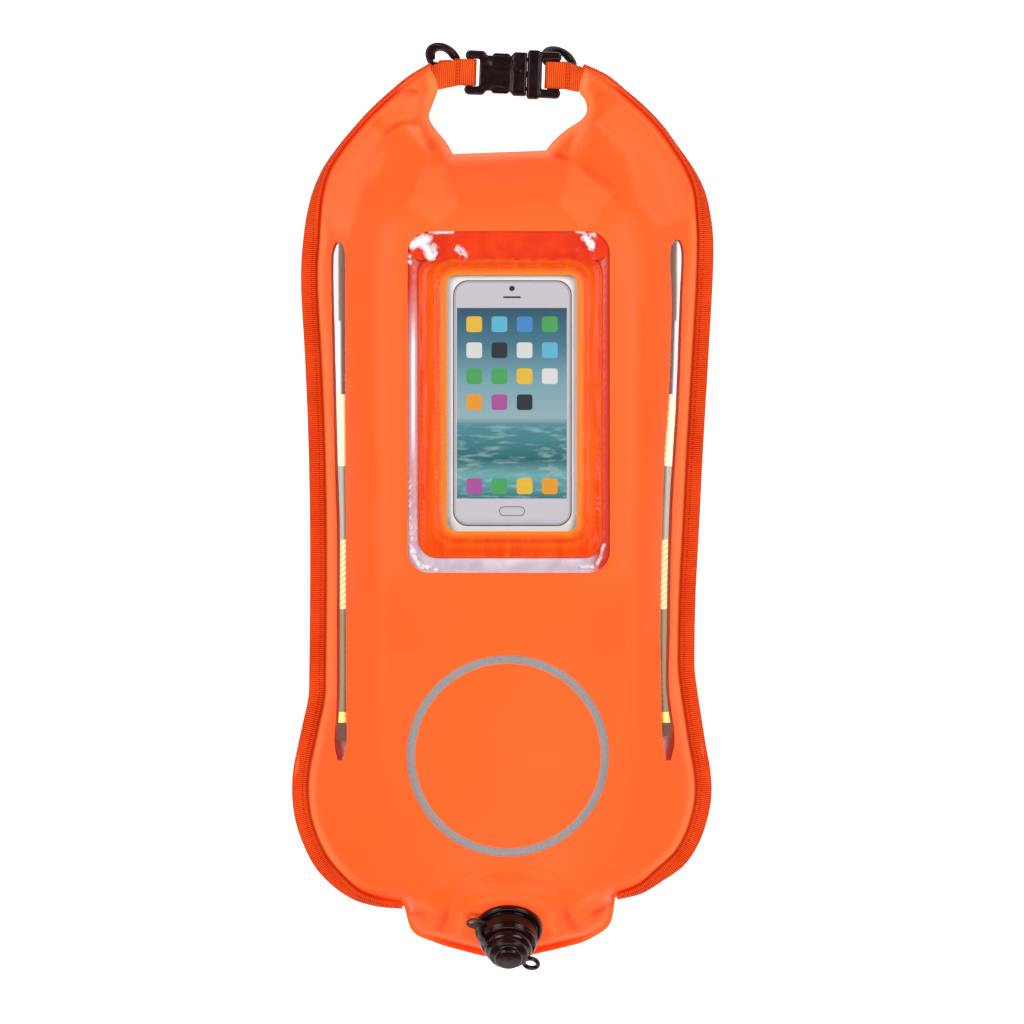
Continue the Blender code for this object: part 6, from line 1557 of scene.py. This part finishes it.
for word, (x, y), strap_half, lean in (("left", (-0.0466, 0.0081), WEBBING_THICKNESS / 2, 1),
                                       ("right", (0.0399, 0.0069), BAR_HEIGHT + 0.0004 + WEBBING_THICKNESS, -1)):
    yaw, tilt = math.radians(25), math.radians(45)
    ahead = Vector((0, 1, 0))
    bar_way = Vector((math.cos(yaw), 0, lean * math.sin(yaw)))
    beside_bar = Vector((-math.sin(yaw), 0, lean * math.cos(yaw)))
    bow_way = math.cos(tilt) * ahead + math.sin(tilt) * beside_bar
    turn = Matrix((bar_way, bow_way, bar_way.cross(bow_way))).transposed().to_4x4()
    middle = Vector((x, y + loop_middle.y, SEAM_HEIGHT - 0.013))
    ring = rod_ring("ring_" + word, d_path, RING_ROD, RING_ROD * broad, RING_ROD * 0.96,
                    Matrix.Translation(middle) @ turn, moulded)
    fitted(ring, ["d_ring_" + word], "ring_" + word)
    tab_thickness, bend = 0.0011, 0.0015
    wrap = RING_ROD + GAP + tab_thickness / 2
    sewn_z = SEAM_HEIGHT - strap_half - GAP - tab_thickness / 2
    rows = [((x, middle.y - wrap - bend - 0.0095, sewn_z), (1, 0, 0), (0, 0, -1)),
            ((x, middle.y - wrap - bend, sewn_z), (1, 0, 0), (0, 0, -1)),
            ((x, middle.y - wrap, sewn_z - bend), (1, 0, 0), (0, -1, 0))]
    for angle in np.linspace(0, math.radians(265), 30):
        outward = -math.cos(angle) * ahead - lean * math.sin(angle) * beside_bar
        rows.append((middle + outward * wrap, bar_way, outward))
    tab = webbing_strip("tab_" + word, rows, 0.010, tab_thickness, Matrix.Identity(4), 0.0011, 0.0002, 2, 11)
    tab.data.materials.clear()
    tab.data.materials.append(webbing_narrow)
    fitted(tab, ["d_ring_tab_" + word], "bag")


# Side-release buckle
# Moulded black acetal with a maroon cast. Thin sculpted faces over the plain halves carry the rounded shoulders, the
# thumb oval and the raised bars, above and below.

for node_name in ("buckle_female", "buckle_male", "buckle_prong_upper", "buckle_prong_lower"):
    repaint(node_name, moulded)
BUCKLE_THICK = 0.0052
FACE_RISE = 0.0007          # of a sculpted face, over the plain one
FACE_ROWS = ((0.0, -0.0019), (0.00004, -0.0012), (0.00016, -0.00075), (0.0004, -0.00038), (0.0007, -0.00016),
             (0.0011, -0.00004), (0.0016, 0.0))


def rounded_loop(points, step, passes):
    """A closed polygon with evenly spaced points and rounded corners."""
    loop = stepped(np.array(points, float), step)
    for _ in range(passes):
        loop = (np.roll(loop, 1, axis=0) + 2 * loop + np.roll(loop, -1, axis=0)) / 4
    return loop


def hump(points, centre, half_width, half_height, soft=0.35):
    """1 in an ellipse, and 0 well outside it."""
    radius = np.hypot((points[:, 0] - centre[0]) / half_width, (points[:, 1] - centre[1]) / half_height)
    return 1 - ease((radius - 1 + soft / 2) / soft)


def sculpted_face(name, polygon, relief, body, side, thick=BUCKLE_THICK):
    """A thin moulded face over one side of a buckle half."""
    loop = inset(rounded_loop(polygon, 0.0005, 5), -0.00022)
    reach, fall = (np.array(column) for column in zip(*FACE_ROWS))
    extra = [inset(loop, depth)[::2 if depth > 0.0005 else 1] for depth in reach[1:]]
    extra = np.vstack([row[contains(loop, row)] for row in extra])
    extra = extra[edge_distance(loop, extra) > 0.00002]
    inner = lattice(loop, 0.0006, 0.0018)
    points, faces = triangulated([loop], np.vstack([extra, inner]))
    near = edge_distance(loop, points)
    height = thick + FACE_RISE + np.interp(near, reach, fall) + relief(points) * ease(near / 0.0014)
    if side < 0:
        faces = faces[:, ::-1]
    made = skin(name, into(buckle_frame, np.column_stack([points, side * height])), faces, 0.0003, moulded)
    softened(made, 60)
    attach(made, body)
    return made


OVAL_DEPTH = 0.00062
# The thumb oval, and the hollow in the lower shoulder: middle, half size, how far its floor goes, its wall and its rim
OVALS = (((-0.0195, 0.0078), (0.0086, 0.0056), 0.80, 0.22, 0.00030),
         ((-0.0215, -0.0165), (0.0098, 0.0068), 0.84, 0.20, 0.00025))


def female_relief(points):
    x = points[:, 0]
    relief = 0.0
    for middle, half_size, floor_share, wall, rim_height in OVALS:
        out = np.hypot(*((points - middle) / half_size).T)
        floor_part = -OVAL_DEPTH * (1 - ease((out - floor_share) / wall))
        relief = relief + (floor_part + rim_height * np.exp(-((out - 1.08) / 0.09) ** 2))
    relief += -0.0005 * hump(points, (-0.0078, 0.0022), 0.0030, 0.0017)
    relief += 0.0006 * ease((x + 0.0112) / 0.0012) - 0.0004 * np.exp(-((x + 0.0117) / 0.0005) ** 2)
    relief += 0.0011 * hump(points, (-0.0395, 0.0132), 0.0085, 0.0050, 1.0)
    relief += 0.0008 * hump(points, (-0.0395, -0.0134), 0.0075, 0.0045, 1.0)
    return relief


def male_relief(points):
    x = points[:, 0]
    relief = 0.0007 * ease((x - 0.0004) / 0.0008) * ease((0.0094 - x) / 0.0010)
    relief += 0.0005 * hump(points, (0.0185, 0.0150), 0.0085, 0.0032, 0.8)
    relief += 0.0005 * hump(points, (0.0185, -0.0150), 0.0085, 0.0032, 0.8)
    return relief - 0.0003 * np.exp(-((x - 0.0098) / 0.0004) ** 2)


female_half = [(-0.0004, 0.0160), (-0.0098, 0.0160), (-0.0123, 0.0128), (-0.0300, 0.0128), (-0.0325, 0.0161),
               (-0.0436, 0.0163), (-0.0462, 0.0142), (-0.0462, 0.0112), (-0.0354, 0.0104)]
male_half = [(0.0109, 0.0108), (0.0252, 0.0118), (0.0252, 0.0146), (0.0232, 0.0170), (0.0090, 0.0168), (0.0086, 0.0180),
             (0.0012, 0.0180), (0.0004, 0.0168)]
male_polygon = [(x, -y) for x, y in reversed(male_half)] + male_half
female_polygon = female_half + [(x, -y) for x, y in reversed(female_half)]
for side, word in ((1, "face"), (-1, "back")):
    sculpted_face("buckle_catch_" + word, female_polygon, female_relief, "bag", side)
    sculpted_face("buckle_plug_" + word, male_polygon, male_relief, "buckle_male_half", side)


# Air valve
# A welded flange with a threaded neck, a screw collar with its spout and check valve, and a push-on cap, all of glossy
# moulded plastic. A rubber leash holds the cap. Every edge is rounded, so that it catches the light.

valve_frame = (Matrix.Translation((*VALVE_CENTRE, SEAM_HEIGHT + VALVE_RISE))
               @ Matrix.Rotation(VALVE_TILT, 4, "X"))
glossy, tree, shader = finish("valve_gloss", (0.018, 0.0062, 0.0060), 0.10, Specular_IOR_Level=0.25)
position = position_of(tree)
tree.links.new(blended(tree, spread(tree, noise(tree, position, 0.012, 3), 0.3, 0.7), (0.010, 0.0032, 0.0034),
                       (0.028, 0.0058, 0.0050)), shader.inputs["Base Color"])
tree.links.new(spread(tree, noise(tree, position, 0.004, 4), 0.4, 0.75, 0.08, 0.18), shader.inputs["Roughness"])
bumped(tree, shader, noise(tree, position, 0.0012, 2), 0.0001, 0.1)
soft_rubber, tree, shader = finish("valve_rubber", (0.020, 0.009, 0.009), 0.42)
position = position_of(tree)
tree.links.new(spread(tree, noise(tree, position, 0.003, 4), 0.35, 0.7, 0.34, 0.55), shader.inputs["Roughness"])
bumped(tree, shader, noise(tree, position, 0.0006, 3), 0.0001, 0.5)
for node_name in ("valve_seal", "valve_diaphragm"):
    repaint(node_name, soft_rubber)

LATHE_SIDES = 96


def filleted(profile, radius, closed=True):
    """A profile with a small arc in place of each corner."""
    profile = [Vector(p) for p in profile]
    count = len(profile)
    result = []
    for i, corner in enumerate(profile):
        if not closed and i in (0, count - 1):
            result.append(corner)
            continue
        before, after = profile[i - 1] - corner, profile[(i + 1) % count] - corner
        reach = min(radius, before.length * 0.45, after.length * 0.45)
        start, end = corner + before.normalized() * reach, corner + after.normalized() * reach
        result += [start * (1 - t) ** 2 + corner * 2 * t * (1 - t) + end * t ** 2 for t in (0, 0.25, 0.5, 0.75, 1)]
    return result


def lathe(name, profile, material, radius=0.0005, closed=True):
    """A turned piece: a ring from a closed profile, or a solid from one that starts and ends at the axis."""
    profile = np.array([tuple(p) for p in filleted(profile, radius, closed)])
    turns = full_turn(LATHE_SIDES)
    places = np.empty((len(profile), LATHE_SIDES, 3))
    places[..., 0] = profile[:, :1] * np.cos(turns)
    places[..., 1] = profile[:, :1] * np.sin(turns)
    places[..., 2] = profile[:, 1:]
    return turned_grid(name, into(valve_frame, places), material, closed)


flange_top, shoulder_top, neck_top = 0.0029, 0.0041, 0.0124
base = lathe("valve_flange", [
    (0.0115, -0.006), (0.0155, -0.006), (0.0155, GAP), (FLANGE_RADIUS, GAP), (FLANGE_RADIUS + 0.0002, 0.0030),
    (FLANGE_RADIUS - 0.0007, shoulder_top), (0.0230, shoulder_top), (0.0222, flange_top), (0.0205, flange_top),
    (0.0203, shoulder_top), (0.0155, shoulder_top),
    (0.0155, neck_top), (0.0115, neck_top)], glossy, 0.0006)
fitted(base, ["valve_base"], "bag")

collar_foot, collar_top, ceiling = 0.0065, 0.0178, 0.0152
collar = lathe("screw_collar", [
    (0.0158, collar_foot), (0.0205, collar_foot), (0.0215, collar_foot + 0.001), (0.0215, 0.0150),
    (0.0207, 0.0158), (0.0205, 0.0170), (0.0196, collar_top), (0.0122, collar_top), (0.0122, 0.0258),
    (0.0085, 0.0258), (0.0085, ceiling), (0.0158, ceiling)], glossy, 0.0006)
fitted(collar, ["valve_collar"], "collar")
BRIDGE_TOP = ceiling + 0.0016
for number, (reach, breadth) in enumerate(((0.0093, 0.003), (0.003, 0.0186))):
    corners = [[(sx * reach, sy * breadth / 2, z) for sx, sy in ((-1, -1), (1, -1), (1, 1), (-1, 1))]
               for z in (ceiling, BRIDGE_TOP)]
    bar = turned_grid(f"check_bridge_{number}", into(valve_frame, corners), glossy, False)
    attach(bar, "collar")

cap_foot = 0.0181
cap = lathe("push_cap", [
    (0, 0.0261), (0.0125, 0.0261), (0.0125, cap_foot), (0.0172, cap_foot), (0.0176, 0.0190), (0.0176, 0.0222),
    (0.0168, 0.0238), (0.0146, 0.0250), (0.0146, 0.0278), (0.0138, 0.0286), (0.0107, 0.0288), (0.0104, 0.0318),
    (0.0096, 0.0328), (0.0050, 0.0330), (0, 0.0331)], glossy, 0.0006, False)
fitted(cap, ["valve_cap"], "cap")
PULL_SIDES = 48
loop_turns = full_turn(PULL_SIDES)
pull_path = np.column_stack([0.0060 * np.cos(loop_turns), 0.0050 * np.sin(loop_turns)])
pull_frame = valve_frame @ Matrix.Rotation(math.radians(-40), 4, "Z") @ Matrix.Translation((0.0216, 0, 0.0232))
pull = rod_ring("cap_pull", pull_path, 0.0014, np.full(PULL_SIDES, 0.0020), 0.0018, pull_frame, glossy)
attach(pull, "cap")

# The leash: a ring round the neck with an ear, and a band up to the cap
leash_turn = valve_frame @ Matrix.Rotation(math.radians(158), 4, "Z")
LEASH_FOOT, LEASH_TOP = 0.0044, 0.0062
LEASH_RADIUS, EAR_REACH, EAR_RADIUS = 0.0203, 0.0282, 0.0054
ear_turn = math.asin(0.0050 / LEASH_RADIUS)
ring_turns = np.linspace(ear_turn, 2 * math.pi - ear_turn, 90)
ear_turns = np.linspace(0, math.pi, 24)
leash_loop = np.vstack([
    LEASH_RADIUS * np.column_stack([np.cos(ring_turns), np.sin(ring_turns)]),
    EAR_RADIUS * np.column_stack([np.sin(ear_turns), -np.cos(ear_turns)]) + (EAR_REACH, 0)])
leash_holes = [circle((0, 0), 0.0158, 90), circle((EAR_REACH + 0.0012, 0), 0.0019, 20)]
rows = [inset(leash_loop, depth) for depth in (0.0003, 0.0007)]
points, faces = triangulated([leash_loop], np.vstack(rows), leash_holes)
near = np.minimum(edge_distance(leash_loop, points), edge_distance(leash_holes[1], points))
rim = 0.0006 * (1 - ease(near / 0.0008))
leash_places = into(leash_turn, np.column_stack([points, LEASH_TOP - rim]))
leash_ring = skin("leash_ring", leash_places, faces, LEASH_TOP - LEASH_FOOT - 0.0003, soft_rubber)
fitted(leash_ring, ["cap_leash"], "collar")
band = eased_path([(0.0250, 0, 0.0052, 0.3, 0, 1), (0.0243, 0, 0.0068, 1, 0, 0.3), (0.0231, 0, 0.0100, 1, 0, 0),
                   (0.0231, 0, 0.0150, 1, 0, 0), (0.0222, 0, 0.0180, 1, 0, 0.4), (0.0196, 0, 0.0205, 1, 0, 0.5),
                   (0.0186, 0, 0.0232, 1, 0, 0.1), (0.0180, 0, 0.0242, 1, 0, 0)], 0.0004, 4)
turns = full_turn(20)
section = np.column_stack([np.sign(np.cos(turns)) * np.abs(np.cos(turns)) ** 0.6 * 0.0026,
                           np.sign(np.sin(turns)) * np.abs(np.sin(turns)) ** 0.6 * 0.0009])
breadths = section[None, :, :1] * np.array((0.0, 1.0, 0.0))
places = band[:, None, :3] + breadths + section[None, :, 1:] * unit(band[:, None, 3:])
leash_band = turned_grid("leash_band", into(leash_turn, places), soft_rubber, False)
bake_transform(leash_band)


# Studio
# A pale floor that shows white and keeps the buoy's shadow, a soft box at either side, and a third past the foot.
# The camera looks straight down, from so far off that the view has hardly any perspective.

floor_paper, tree, shader = finish("floor_paper", (0.62, 0.62, 0.62), 0.9)
seen = node(tree, "ShaderNodeLightPath").outputs
shown = calc(tree, "MAXIMUM", calc(tree, "MAXIMUM", seen["Is Camera Ray"], seen["Is Glossy Ray"]),
             seen["Is Transmission Ray"])
shader.inputs["Emission Color"].default_value = (1.0, 1.0, 1.0, 1.0)
shader.inputs["Specular IOR Level"].default_value = 0.0
tree.links.new(product(tree, shown, 0.95), shader.inputs["Emission Strength"])
FLOOR_HALF = 6.0
floor = new_piece("floor", [(-FLOOR_HALF, -FLOOR_HALF, 0), (FLOOR_HALF, -FLOOR_HALF, 0), (FLOOR_HALF, FLOOR_HALF, 0),
                            (-FLOOR_HALF, FLOOR_HALF, 0)], [(0, 1, 2, 3)], floor_paper)

world = bpy.data.worlds.new("studio_air")
world.use_nodes = True
bpy.context.scene.world = world
background = next(n for n in world.node_tree.nodes if n.type == "BACKGROUND")
seen = node(world.node_tree, "ShaderNodeLightPath").outputs
brightness = spread(world.node_tree, seen["Is Camera Ray"], 0, 1, 0.42, 1.0)
world.node_tree.links.new(brightness, background.inputs["Strength"])


def soft_light(name, at, size, power):
    """A soft box that points at the middle of the bag."""
    lamp = bpy.data.lights.new(name, "AREA")
    lamp.shape = "RECTANGLE"
    lamp.size, lamp.size_y = size
    lamp.energy = power
    made = bpy.data.objects.new(name, lamp)
    bpy.context.scene.collection.objects.link(made)
    made.location = at
    made.rotation_euler = (Vector((0, 0, 0.05)) - Vector(at)).to_track_quat("-Z", "Y").to_euler()
    made.visible_camera = False


soft_light("left_box", (-1.7, 0.7, 1.9), (1.3, 1.6), 46)
soft_light("right_box", (1.7, 0.7, 1.9), (1.3, 1.6), 46)
soft_light("foot_box", (0, -2.1, 1.5), (2.2, 0.8), 36)

CAMERA_DISTANCE = 6.0
FRAME_WIDTH = 0.7639       # of the picture, at the height of the side seams
VIEW_MIDDLE = (0.003, -0.0045)
camera_data = bpy.data.cameras.new("camera")
camera_data.sensor_width = 36.0
camera_data.lens = 36.0 * CAMERA_DISTANCE / FRAME_WIDTH
camera_data.clip_end = 50.0
camera = bpy.data.objects.new("camera", camera_data)
camera.location = (*VIEW_MIDDLE, SEAM_HEIGHT + CAMERA_DISTANCE)
bpy.context.scene.collection.objects.link(camera)
bpy.context.scene.camera = camera
bpy.context.scene.view_settings.view_transform = "Standard"
